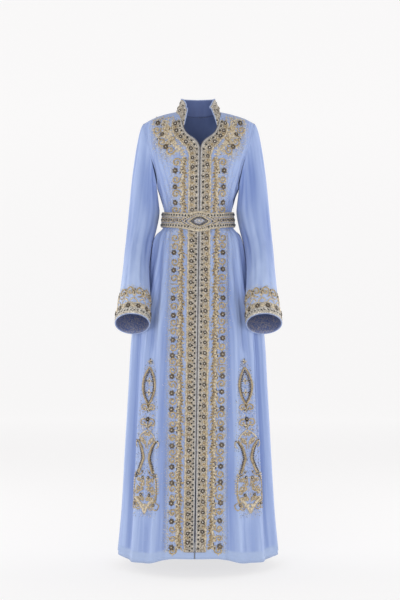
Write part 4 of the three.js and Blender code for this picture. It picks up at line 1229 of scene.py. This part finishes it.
# One side of the front's braid: a ring stone every 33 mm, dark beads every 16.5 mm, and gold lobes.
def braidWork(side):
    work = frontWork(side)
    rings = np.concatenate([band["neckRings"], np.arange(ringPhase, bandLength - 14, band["pitch"])])
    isLower = np.arange(len(rings)) >= len(band["neckRings"])
    rings = rings + (np.where(isLower, 0, 1.5) if side < 0 else -7.0 * isLower)
    place = bandPlace(rings, 0.66)
    place = place + 0.5 * rng.standard_normal(place.shape)
    size = band["ringSize"] + 0.3 * rng.standard_normal(len(rings))
    work.set("ring", setting, place, size, rng.random(len(rings)) * 360, braidTop)
    work.set("silver", stud, place, size * 0.36, rng.random(len(rings)) * 360, braidTop + 0.6)
    dots = np.arange(6.0, bandLength - 6, band["dotPitch"])
    isLow = (dots >= ringPhase + band["lowDots"]) & (side < 0)
    upper, lower = dots[~isLow], dots[isLow]
    for run, w, size in ((upper, 0.29, 3.6), (lower, 0.22, 3.4), (lower + band["dotPitch"] / 2, 0.46, 3.2)):
        spot = bandPlace(run, w) + 0.4 * rng.standard_normal((len(run), 2))
        work.set("dark", bead, spot, size + 0.2 * rng.standard_normal(len(run)), 0, braidTop)
    between = (rings[1:] + rings[:-1]) / 2
    place = bandPlace(between, 0.72)
    work.set("thread", flower, place, 5.0, rng.random(len(between)) * 360, braidTop)
    work.set("bronze", stud, place, 2.0, 0, braidTop + 1.2)
    for off, spin in ((-8.4, -50), (8.4, -130)):
        work.set("gold", leaf, bandPlace(between + off, 0.88), 9, spin, braidTop)
    inner = rings[1:-1]
    for off in (-9.5, 9.5):
        work.set("thread", leaf, bandPlace(inner + off, 0.5), 7, rng.random(len(inner)) * 60, braidTop)
    tips = np.arange(ringPhase + band["pitch"] / 2, bandLength - 20, band["pitch"])
    for turn in (-90, -52, -128):
        work.set("gold", leaf, bandPlace(tips, 0.97), 9.5, turn, 0.9)
    s = np.linspace(2, bandLength - 3, 760)
    for kind, w, thick, lift, sides in (("gold", 0.975, 2.1, -0.4, 5), ("thread", 0.86, 0.9, 0, 4),
                                        ("gold", 0.48, 0.8, 0, 4), ("silver", 0.13, 0.7, 0, 4)):
        work.sew(kind, bandPlace(s, w)[None], thick, braidTop + lift, sides=sides, taper=1)
    work.sew("piping", bandPlace(s, 0.055)[None], 2.0, braidTop - 0.7, sides=6, flat=1.0, taper=1)
    # Cords that stand in for the shaded gap between the two fronts: a grey painted-shade line above the slit,
    # then a dark painted-shade cord below it and on down to the hem.
    for kind, run in (("line", s[s < slitRun]), ("shade", s[s >= slitRun])):
        work.sew(kind, bandPlace(run, -0.03)[None], 1.05, braidTop - 2.0, sides=4, flat=0.8, taper=1)
    foot = np.linspace(band["end"] + 6, cut["hem"] + 1, 20)
    work.sew("shade", pair(0.6, foot)[None], 1.1, -0.4, sides=4, flat=0.8, taper=1)
    specks = strewn(band["silver"] + band["bronze"], (6, 0.12), (bandLength - 6, 0.95))
    place = bandPlace(specks[:, 0], specks[:, 1])
    work.strew("silver", place[:band["silver"]], 1.0, 0.5, braidTop)
    work.strew("bronze", place[band["silver"]:], 1.1, 0.5, braidTop)
    return work


# One side of the front beside the braid: a wavy leafy stem, and a column of spirals and dark flowers.
def columnX(side, z):
    return column["x"] + np.interp(z, [column["foot"], -850, column["top"]], column["shift"][side])


def columnWork(side):
    work = frontWork(side)
    garland(work, column["top"], column["foot"], 55)
    z = np.array(column["z"], float) + (column["leftHigher"] if side > 0 else 0)
    x = columnX(side, z)
    rosettes(work, pair(x, z) + 0.8 * rng.standard_normal((len(z), 2)), 8.4)
    tops = np.concatenate([[-392], z, [-1425]])
    centres, radii = [], []
    for high, low in zip(tops[:-1], tops[1:]):
        gap = high - low
        for share, radius in zip((0.3, 0.7) if gap > column["longGap"] else (0.5,), column["radii"]):
            height = high - gap * share
            centres.append([columnX(side, height) - 2, height])
            radii.append(radius)
    curled(work, np.array(centres), np.array(radii), 180)
    sprigged(work, pair(x - 17, z))
    for bar in (z[:-1] + z[1:])[1::4] / 2:
        work.sew("thread", stem([[60, bar], [88, bar + 1]], 10), 1.9, 0.9)
    filled(work, 130, (38, -1412), (62, -384))
    count = 1900
    away = column["beyond"] + np.abs(rng.standard_normal(count)) * 9
    far = pair(away, -385 - rng.random(count) * 1030)
    work.strew("silver", far[::2], 0.9, 0.4)
    work.strew("gold", far[1::2], 0.9, 0.4)
    near = strewn(1300, (38, -1415), (88, -380))
    work.strew("silver", near[:800], 1.0, 0.5)
    work.strew("bronze", near[1050:], 1.0, 0.5)
    return work


# A wavy stem thick with leaves, down the front.
def garland(work, high, low, middle):
    down = np.linspace(high, low, int((high - low) * 0.7))
    lean = np.interp(down, [column["foot"], column["top"]], [-4, 0])
    wave = middle + lean + 2.6 * np.sin(down * 2 * np.pi / 51)
    path = pair(wave, down)[None]
    work.sew("amber", path, 3.0, 1.0, taper=1)
    work.sew("thread", path + [5.6, 0], 0.9, 0.8, sides=4, taper=1)
    for start, turn, size, kind in ((3, -50, 13, "amber"), (8, 52, 13.5, "gold"), (2, 86, 9.5, "amber")):
        place, heading = along(path, 11.0, start)
        grow = size + 1.6 * rng.random(len(place))
        work.set(kind, leaf, place, grow, heading - 90 + turn, 0.9)
    place, _ = along(path, 10.2, 5)
    work.set("pale", stud, place + [2, 0], 1.5, 0, 2.4)
    work.set("bronze", stud, place + [-4.4, 4], 2.1, 0, 1.6)


# Small leaves and stitches strewn thickly, each turned its own way.
def filled(work, count, low, high, allowed=None):
    places = strewn(count, low, high)
    size, spin = 5 + 3.5 * rng.random(count), rng.random(count) * 360
    inside = allowed(places) if allowed else np.ones(count, bool)
    for kind, first in (("thread", 0), ("gold", 1)):
        own = inside & (np.arange(count) % 2 == first)
        work.set(kind, leaf, places[own], size[own], spin[own], 0.7)


# Spirals side by side that turn by turns, each with a gold flower at its middle and a small leaf.
def curled(work, centres, radii, start):
    way = np.where(np.arange(len(centres)) % 2, 1, -1)
    begins = start + way * 52
    work.sew("thread", spirals(centres, radii, begins, 1.3, -way), 2.6, 1.1, taper=0.8)
    work.set("gold", flower, centres, 2.9, 0, 0.8)
    a = np.radians(begins + 150)
    place = centres + pair(np.cos(a), np.sin(a)) * (radii * 0.9)[:, None]
    work.set("gold", leaf, place, 7, begins + 60 + 40 * way, 0.8)


# A sprig: three dark leaves and a gold pair.
def sprigged(work, places, turned=0):
    for turn, size in ((0, 12), (180, 11), (90, 10.5)):
        work.set("bronze", slimLeaf, places, size, turn + turned, 2.6)
    for turn, size in ((42, 10), (138, 10), (-90, 9)):
        work.set("gold", leaf, places, size, turn + turned, 1.8)
    work.set("pale", stud, places, 1.8, 0, 3.4)


yoke = {
    "spirals": [(134, -66, 12.5, 150, 1), (117, -106, 15, 170, 1), (93, -134, 14, 175, 1),
                (72.5, -174, 14.5, 200, -1), (73.5, -228, 12.5, 160, 1), (73.5, -273, 13, 200, -1),
                (74, -322, 12, 160, 1), (104, -62, 10, 20, -1), (88, -96, 9, 10, -1)],
    "flowers": [(131, -45, 8), (107, -122, 8), (77, -200, 8.4), (76, -251, 7.4), (75, -300, 8.2),
                (118, -80, 6.5)],
    "stems": [
        [(98, -22), (103, -48), (96, -76), (88, -100), (74, -121), (56, -141), (49, -170)],
        [(148, -58), (138, -80), (126, -88), (112, -84), (100, -70)],
        [(132, -112), (118, -122), (104, -112), (94, -98)],
        [(106, -140), (94, -149), (80, -142), (68, -128)],
        [(118, -34), (112, -52), (104, -62)],
        [(86, -18), (84, -40), (90, -60)],
        [(112, -22), (122, -34), (140, -36), (148, -50)],
        [(110, -30), (112, -66), (101, -94), (80, -117), (63, -136)],
        [(128, -84), (112, -88), (96, -84), (84, -70)],
        [(118, -96), (106, -108), (88, -112), (76, -104)],
    ],
}


# Whether a place is on the yoke, between the braid and the fading beads.
def onYoke(p):
    below = p[:, 1] < necklineAt(np.clip(p[:, 0], 0, 71)) - 16
    return below & (p[:, 0] - 46 < (p[:, 1] + 190) * 0.9) & (p[:, 0] < 150)


def yokeWork(side):
    work = frontWork(side)
    table = np.array(yoke["spirals"], float)
    paths = spirals(table[:, :2], table[:, 2] + 0.4, table[:, 3], 1.3, table[:, 4])
    work.sew("thread", paths, 2.8, 1.3, taper=0.8)
    work.set("gold", flower, table[:, :2], 3.0, 0, 0.8)
    filled(work, 56, (44, -150), (142, -24), onYoke)
    filled(work, 50, (38, -326), (62, -160))
    for k, places in enumerate(yoke["stems"]):
        main = k in (0, 7)
        leafyStem(work, places, 2.4 if main else 1.5, 11 if main else 10, 12.5 if main else 8.5)
    blooms = np.array(yoke["flowers"], float)
    rosettes(work, blooms[:, :2], blooms[:, 2] + 0.6)
    sprigged(work, [(116, -48), (96, -112), (58, -203), (57, -301), (92, -60), (128, -92)], 30)
    garland(work, -160, -330, 51)
    work.sew("thread", stem([(54, -254), (86, -256)], 12), 2.2, 0.9)
    count = 900
    run = rng.random(count)
    line = np.array([(150, -36), (140, -100), (118, -140), (98, -165), (94, -330)], float)
    share = np.linspace(0, 1, len(line))
    middle = pair(*[np.interp(run, share, line[:, k]) for k in range(2)])
    spots = middle + rng.standard_normal((count, 2)) * [10, -9]
    spots = spots[(spots[:, 0] < 158) & (spots[:, 1] < -30)]
    work.strew("silver", spots, 0.8, 0.4)
    inside = strewn(1050, (48, -150), (148, -26))
    inside = inside[onYoke(inside)]
    half = 9 * len(inside) // 10
    work.strew("silver", inside[:half], 1.1, 0.5, 0.8)
    work.strew("bronze", inside[half:], 1.0, 0.4)
    work.strew("silver", strewn(260, (96, -130), (146, -34)), 1.2, 0.4, 1.2)
    work.strew("silver", strewn(900, (38, -325), (92, -165)), 1.0, 0.5)
    return work


def ornamentWork(side):
    work = frontWork(side)
    t = np.linspace(0, 1, 50)

    def at(x, z):
        return pair(ornamentMiddle(side, np.asarray(z, float)) + x, z)

    def mirrored(way, table):
        table = np.asarray(table, float)
        return at(way * table[:, 0], table[:, 1])

    for way in (1, -1):
        (lens, lensTop, lensFoot), (inner, innerTop, innerFoot) = ornament["lens"], ornament["beads"]
        path = mirrored(way, pair(lens * np.sin(np.pi * t) ** 0.8, mix(lensTop, lensFoot, t)))
        work.sew("amber", path[None], 3.9, 1.0, taper=0.8)
        path = mirrored(way, pair(inner * np.sin(np.pi * t) ** 0.85, mix(innerTop, innerFoot, t)))
        work.set("bronze", bead, along(path[None], 5.8)[0], 2.6, 0, 0.9)
        horn = pair(np.interp(t, *ornament["horn"]), mix(-1056, -1168, t))
        curve = stem(mirrored(way, horn[::5]), 60)
        work.sew("amber", curve - [way * 2.2, 0], 4.6, 1.0, taper=0.8)
        work.set("bronze", bead, along(curve + [way * 3.6, 0], 5.8)[0], 2.7, 0, 0.9)
        for places, thick, kind in ornament["lines"]:
            path = stem(mirrored(way, places), 44 if kind == "amber" else 30)
            work.sew(kind, path, thick, 1.0, taper=0.6)
        for key, thick in (("spirals", 2.5), ("curls", 2.0)):
            table = np.array(ornament[key], float)
            start = np.where(way > 0, table[:, 3], 180 - table[:, 3])
            paths = spirals(mirrored(way, table), table[:, 2], start, 1.25, way * table[:, 4])
            work.sew("thread", paths, thick, 0.9, taper=0.7)
            work.set("gold", stud, mirrored(way, table), 2.4, 0, 0.8)
        sideStem = stem(mirrored(way, ornament["sideStem"]), 30)
        for turn in (-55, 55):
            work.set("gold", leaf, along(sideStem, 8)[0], 8, turn, 1.4)
        table = np.array(ornament["leaves"], float)
        work.set("gold", leaf, mirrored(way, table), table[:, 2], -way * table[:, 3], 0.9)
        table = np.array(ornament["flowers"], float)
        work.set("bronze", flower, mirrored(way, table), table[:, 2], 0, 0.7)
        work.set("pale", stud, mirrored(way, table), table[:, 2] * 0.3, 0, 2.2)
        work.set("bronze", slimLeaf, mirrored(way, ornament["slimLeaves"]), 12, -way * 55, 2.2)
    for z in (-868, -905):
        work.set("gold", leaf, [at(0, z)] * 4, [13, 11, 13, 11], [0, 90, 180, 270], 0.8)
        work.set("bronze", bead, at([0, -9, 9], z), 2.3, 0, 1.4)
    sprigged(work, at(0, [-958, -1012, -806]))
    for count, middle, half, low, high in ((46, -1215, 34, -1272, -1168), (30, -1010, 24, -1056, -960)):
        across = ornamentMiddle(side, middle)
        filled(work, count, (across - half, low), (across + half, high))
    count = 1500
    run = rng.random(count)
    wide = np.interp(run, [0, 0.08, 0.2, 0.4, 0.55, 0.75, 1], [8, 18, 26, 30, 34, 34, 34])
    places = at(wide * (rng.random(count) * 2 - 1) * 1.2, mix(-800, -1296, run))
    work.strew("silver", places[:1000], 0.9, 0.5)
    work.strew("bronze", places[1000:], 0.9, 0.5)
    return work


# Places on the belt, across and up, as its angle and its share of the way down.
def beltAt(x, up):
    x, up = np.broadcast_arrays(np.asarray(x, float), np.asarray(up, float))
    top, bottom = beltTopAt(np.abs(x)), beltBottomAt(np.abs(x))
    angle = np.arcsin(np.clip(x / belt["half"], -0.999, 0.999))
    return pair(np.degrees(angle), (top - up) / (top - bottom))


# Places on the belt by their distance from its middle.
def onBelt(places):
    places = np.atleast_2d(places)
    return beltAt(places[:, 0], belt["middle"] + places[:, 1])


# The outline of a lens: up = tall * (1 - |t|^1.7), then the same below.
def lensPath(half, tall, points=60):
    t = np.linspace(-1, 1, points)
    upper = pair(half * t, tall * (1 - np.abs(t) ** 1.7))
    return np.concatenate([upper, (upper * [1, -1])[::-1][1:]])


def beltWork():
    work = Embroidery(beltSurface, -1, beltStep)
    turns = np.linspace(-180, 180, 361)
    for share, thick in ((0.045, 1.8), (0.27, 1.3), (0.73, 1.3), (0.955, 1.8)):
        work.sew("gold", pair(turns, share)[None], thick, 0.4, taper=1)
    dots = np.arange(-178, 180, 2.6)
    dots = dots[np.abs(dots) > 13][::2]
    for share in (0.155, 0.845):
        work.set("dark", bead, pair(dots, share), 3.1, 0, 0.4)
        work.set("silver", seed, pair(dots + 2.6, share), 2.6, 0, 0.2)
    studs = np.arange(-176, 180, 5.6)
    studs = pair(studs[np.abs(studs) > 26], 0.5)
    work.set("ring", setting, studs[::2], 4.6, 0, 0.3)
    work.set("pale", stud, studs[::2], 2.2, 0, 0.8)
    work.set("dark", bead, studs[1::2], 3.2, 0, 0.3)
    zig = np.arange(-180, 181, 1.4)
    for way, kind in ((1, "gold"), (-1, "thread")):
        path = pair(zig, 0.5 + way * 0.15 * np.cos(np.radians(zig + 4) * 360 / 11.2))
        for part in (path[zig < -24], path[zig > 24]):
            work.sew(kind, part[None], 1.6, 0.4, taper=1)
    for half, tall, thick in ((59, 27, 1.6), (47, 22, 1.8), (34.5, 17.6, 2.0)):
        work.sew("gold", onBelt(lensPath(half, tall))[None], thick, 0.6, taper=1)
    for half, tall, kind, size in ((53, 24.6, "dark", 1.8), (41, 19.8, "stone", 1.9)):
        work.set(kind, bead, onBelt(along(lensPath(half, tall)[None], 7)[0]), size, 0, 0.5)
    work.set("dark", bead, onBelt([(-40, 0), (40, 0)]), 3.0, 0, 0.6)
    specks = strewn(1500, (-179, 0.07), (179, 0.93))
    work.strew("silver", specks[:900], 1.0, 0.4, 0.3)
    work.strew("stone", specks[900:], 1.1, 0.4, 0.3)
    return work


# The boss at the belt's middle: a lens raised by edge + dome (1 - u^2)(1 - v^2).
def bossRise(u, v):
    return 3.0 + 2.2 * (1 - u * u) * (1 - v * v)


def bossPiece():
    u, v = np.meshgrid(np.linspace(-0.98, 0.98, 49), np.linspace(1, -1, 17))
    place = beltAt(belt["bossHalf"] * u, belt["middle"] + v * belt["bossTall"] * (1 - np.abs(u) ** 1.8))
    out = bossRise(u, v)
    points, normals, _, _ = onSurface(beltSurface, place[..., 0], place[..., 1], out, -1, beltStep)
    return bandWall("belt_boss", "belt_medallion", points, normals, 1.4, -1, bossThread, slot="stones")


def bossWork():
    work = Embroidery(beltSurface, -1, beltStep)

    def rise(path):
        return bossRise(path[:, 0] / belt["bossHalf"], np.clip(path[:, 1] / belt["bossTall"], -1, 1))

    for half, tall, kind, thick in ((29, 16, "gold", 1.5), (20, 10, "bronze", 1.2)):
        path = lensPath(half, tall)
        work.sew(kind, onBelt(path)[None], thick, rise(path)[None] + 0.3, taper=1)
    place, _ = along(lensPath(25.5, 13.5)[None], 4.3)
    work.set("dark", bead, onBelt(place), 2.1, 0, rise(place) + 0.1)
    for x in (-7, 0, 7):
        at = np.array([[x, 0.0]])
        for turn in (0, 90, 180, 270):
            work.set("pale", leaf, onBelt(at), 3.4 if x else 4.6, turn, rise(at) + 0.3)
    for x in (-14, 14):
        at = np.array([[x, 0.0]])
        work.set("dark", bead, onBelt(at), 1.4, 0, rise(at) + 0.2)
    return work


# A sleeve's end: dark flowers along the top of the border, arcs and spirals above it, and piping.
def cuffWork(side):
    work = Embroidery(sleeveSurface(side), side, sleeveStep, side < 0)
    top = cuff["lift"] + cuff["thick"]
    count = cuff["motifs"]
    angles = np.arange(count) * 360 / count + 12

    def row(degrees, z):
        return pair(degrees, sleeveRow(z))

    rosettes(work, row(angles, -660), 7.8, top)
    work.set("gold", flower, row(angles + 16.4, -659), 6.6, 30, top)
    dots = np.arange(0, 360, 360 / 33)
    work.set("dark", bead, row(dots, -674), 2.3, 0, top)
    work.set("bronze", slimLeaf, row(dots + 5.4, -669), 7, 30, top)
    for spin in (-70, 70, 180):
        work.set("gold", leaf, row(angles + 8, -660), 9, spin, top)
    t = np.linspace(0, 360, 361)
    scallop = -652 + 3.2 * np.abs(np.cos(np.radians(t - 12) * count / 2)) ** 0.7
    work.sew("gold", row(t, scallop)[None], 2.2, top - 0.8, taper=1)
    work.sew("gold", row(t, -679)[None], 1.1, top, taper=1)
    work.sew("edge", row(t, -685.8)[None], 1.3, top - 1.1, sides=6, flat=1.0, taper=1)
    share = np.linspace(0, 1, 30)[None]
    arcs = row(angles[:, None] + 4 + 27 * share, -641 + 9 * np.sin(np.pi * share) - 5 * share)
    work.sew("gold", arcs, 2.8, 0.9, taper=0.5)
    turn = np.linspace(0, 1, 34)[None]
    way = np.where(np.arange(count) % 2, 1, -1)[:, None]
    a = np.radians(250) + way * 1.3 * 2 * np.pi * turn
    r = cuff["curlRadius"] * (1 - 0.8 * turn)
    middle = angles + 1.5
    curls = row(middle[:, None] + r * np.cos(a) / 1.13, cuff["curlZ"] + r * np.sin(a))
    work.sew("thread", curls, 2.8, 1.0, taper=0.8)
    work.set("gold", flower, row(middle, cuff["curlZ"]), 3.0, 0, 0.8)
    for off, z, size, spin in ((16, -618, 14, 0), (16, -618, 11, 40), (16, -618, 11, -40), (16, -630, 9, 180),
                               (9, -640, 8, 60), (24, -640, 8, -60)):
        work.set("gold", leaf, row(angles + off, z), size, spin, 0.7)
    sprigged(work, row(angles + 16, -612))
    count = 1500
    rise = np.abs(rng.standard_normal(count)) * 13
    work.strew("silver", row(rng.random(count) * 360, -620 + rise), 1.1, 0.4)
    count = 900
    inside = row(rng.random(count) * 360, -654 - rng.random(count) * 28)
    work.strew("silver", inside[:600], 1.1, 0.4, top)
    work.strew("bronze", inside[600:], 1.0, 0.3, top)
    return work


# The collar: dark beads near its free edge, ring stones, gold leaves, and piping along the edge.
def collarWork(side):
    work = Embroidery(collarSurface(side), -side, collarStep, side < 0)
    t = np.linspace(0, 8, 160)
    for w, kind, thick in ((0.14, "silver", 0.8), (0.5, "gold", 0.9), (0.95, "gold", 1.5)):
        work.sew(kind, pair(t, w)[None], thick, 0.2, taper=1)
    work.sew("edge", pair(t, 0)[None], 1.8, -0.8, sides=8, flat=1.0, taper=1)
    work.set("dark", bead, pair([0.5, 1.2, 1.8, 2.4, 3.0, 3.6, 4.4, 5.2, 6.0, 6.8, 7.6], 0.3), 2.6, 0, 0.1)
    rings = np.array([2.1, 3.1, 4.1, 5.2, 6.2, 7.2])
    work.set("bronze", setting, pair(rings, 0.7), 5.2, 0, 0.1)
    work.set("pale", stud, pair(rings, 0.7), 2.6, 0, 0.7)
    for turn in (60, 180, 300):
        work.set("gold", leaf, pair(rings[:-1] + 0.5, 0.7), 7, turn, 0.1)
    specks = strewn(700, (0.3, 0.12), (7.9, 0.92))
    work.strew("silver", specks[:450], 1.0, 0.4, 0.1)
    work.strew("bronze", specks[450:], 1.0, 0.3, 0.1)
    return work


# The seam round the armhole, a fine cord in the cloth's colour.
def seamWork(side):
    z = np.linspace(-38.5, -260, 90)
    works = []
    for surface, key, sense in ((frontSurface(side), "front", side), (backSurface(side), "back", -side)):
        work = Embroidery(surface, sense)
        work.sew("seam", pair(armholeAt[key](z) + 0.4, z)[None], 1.4, 0.1, sides=6, flat=1.0, taper=1)
        works.append(work)
    return works


# All the work on one part of the garment, as one piece for each kind of thread or stone.
def sewn(name, works, slot="embroidery"):
    made = []
    for kind in kinds:
        parts = [part for work in works for part in work.kinds.get(kind, [])]
        if parts:
            vertices, faces, uv = gathered(parts)
            made.append(keep(addMesh(f"{name}_{kind}", vertices, faces, kinds[kind], uv=uv), slot))
    return made


bossPiece()
sewn("braid", [braidWork(1), braidWork(-1)])
print("braid sewn")
sewn("front", [work(side) for side in (1, -1) for work in (columnWork, yokeWork, ornamentWork)])
print("front sewn")
sewn("belt", [beltWork(), bossWork()])
sewn("cuff", [cuffWork(1), cuffWork(-1)])
sewn("collar", [collarWork(1), collarWork(-1)])
sewn("armhole", [work for side in (1, -1) for work in seamWork(side)], "georgette")
print("embroidery ready")

# Which pieces hold each piece of cloth.
bodice = ["bodice_back_cloth", "bodice_front_left_cloth", "bodice_front_right_cloth"]
carriers = {
    "bodice_back_cloth": bodice[1:], "skirt_back_cloth": bodice[:1], "collar_band": bodice,
    "belt_band": [bodice[0], "skirt_back_cloth", "skirt_front_left_cloth", "skirt_front_right_cloth"],
}
for side in ("left", "right"):
    bodiceFront, skirtFront = f"bodice_front_{side}_cloth", f"skirt_front_{side}_cloth"
    carriers |= {
        bodiceFront: bodice[:1], skirtFront: [bodiceFront],
        f"sleeve_{side}_cloth": [bodiceFront, bodice[0]],
        f"placket_{side}_band": [bodiceFront, skirtFront], f"cuff_{side}_band": [f"sleeve_{side}_cloth"],
    }

stage = {"floor": -1.475, "colour": paint(136, 135, 135), "near": 0.702, "far": 0.795, "world": 0.36}


# A floor that sweeps up into a wall: flat, then a quarter circle, then upright.
def backdrop():
    bend = np.linspace(0, np.pi / 2, 24)
    y = np.concatenate([[-9.0], 5.5 + 2.5 * np.sin(bend), [8.0]])
    z = np.concatenate([[0.0], 2.5 - 2.5 * np.cos(bend), [11.0]]) + stage["floor"]
    x = np.array([-14.0, 14.0])
    points = pair(x[None], y[:, None], z[:, None])
    index = np.arange(points.shape[0] * 2).reshape(-1, 2)
    r = Recipe("paper")
    tone = r.blend(r.noise(1.5) * 0.06, stage["colour"], paint(130, 129, 129))
    near, far = ((glow, glow * 0.993, glow * 0.993, 1) for glow in (stage["near"], stage["far"]))
    material = r.finish({
        "Base Color": tone,
        "Roughness": 0.9,
        "Specular IOR Level": 0.1,
        "Emission Color": r.blend(r.axis("Object", "Y").between(0.5, 8.0), near, far),
        "Emission Strength": 1.0,
    })
    piece = addMesh("backdrop", points.reshape(-1, 3) * 1000, [quadsOf(index)], material)


backdrop()

lights = [
    {"name": "key", "place": (-1.3, -4.0, 0.4), "aim": (0, 0, -0.7), "size": 2.4, "power": 50},
    {"name": "fill", "place": (1.5, -4.0, -0.5), "aim": (0, 0, -0.8), "size": 2.4, "power": 39},
    {"name": "rimLeft", "place": (-2.6, 0.9, -0.3), "aim": (0, 0, -0.7), "size": 2.2, "power": 42},
    {"name": "rimRight", "place": (2.6, 0.9, -0.3), "aim": (0, 0, -0.7), "size": 2.2, "power": 42},
    {"name": "top", "place": (0.2, -0.4, 2.6), "aim": (0, 0, -0.4), "size": 2.4, "power": 14},
]
for one in lights:
    data = bpy.data.lights.new(one["name"], "AREA")
    data.size = one["size"]
    data.energy = one["power"]
    lamp = bpy.data.objects.new(one["name"], data)
    lamp.location = one["place"]
    toward = np.array(one["aim"]) - np.array(one["place"])
    flat = math.hypot(toward[0], toward[1])
    lamp.rotation_euler = (math.pi / 2 + math.atan2(toward[2], flat), 0, math.atan2(-toward[0], toward[1]))
    scene.collection.objects.link(lamp)
world = bpy.data.worlds.new("room")
world.use_nodes = True
background = world.node_tree.nodes["Background"].inputs
background["Color"].default_value = (1, 1, 1, 1)
background["Strength"].default_value = stage["world"]
scene.world = world
print("stage ready")
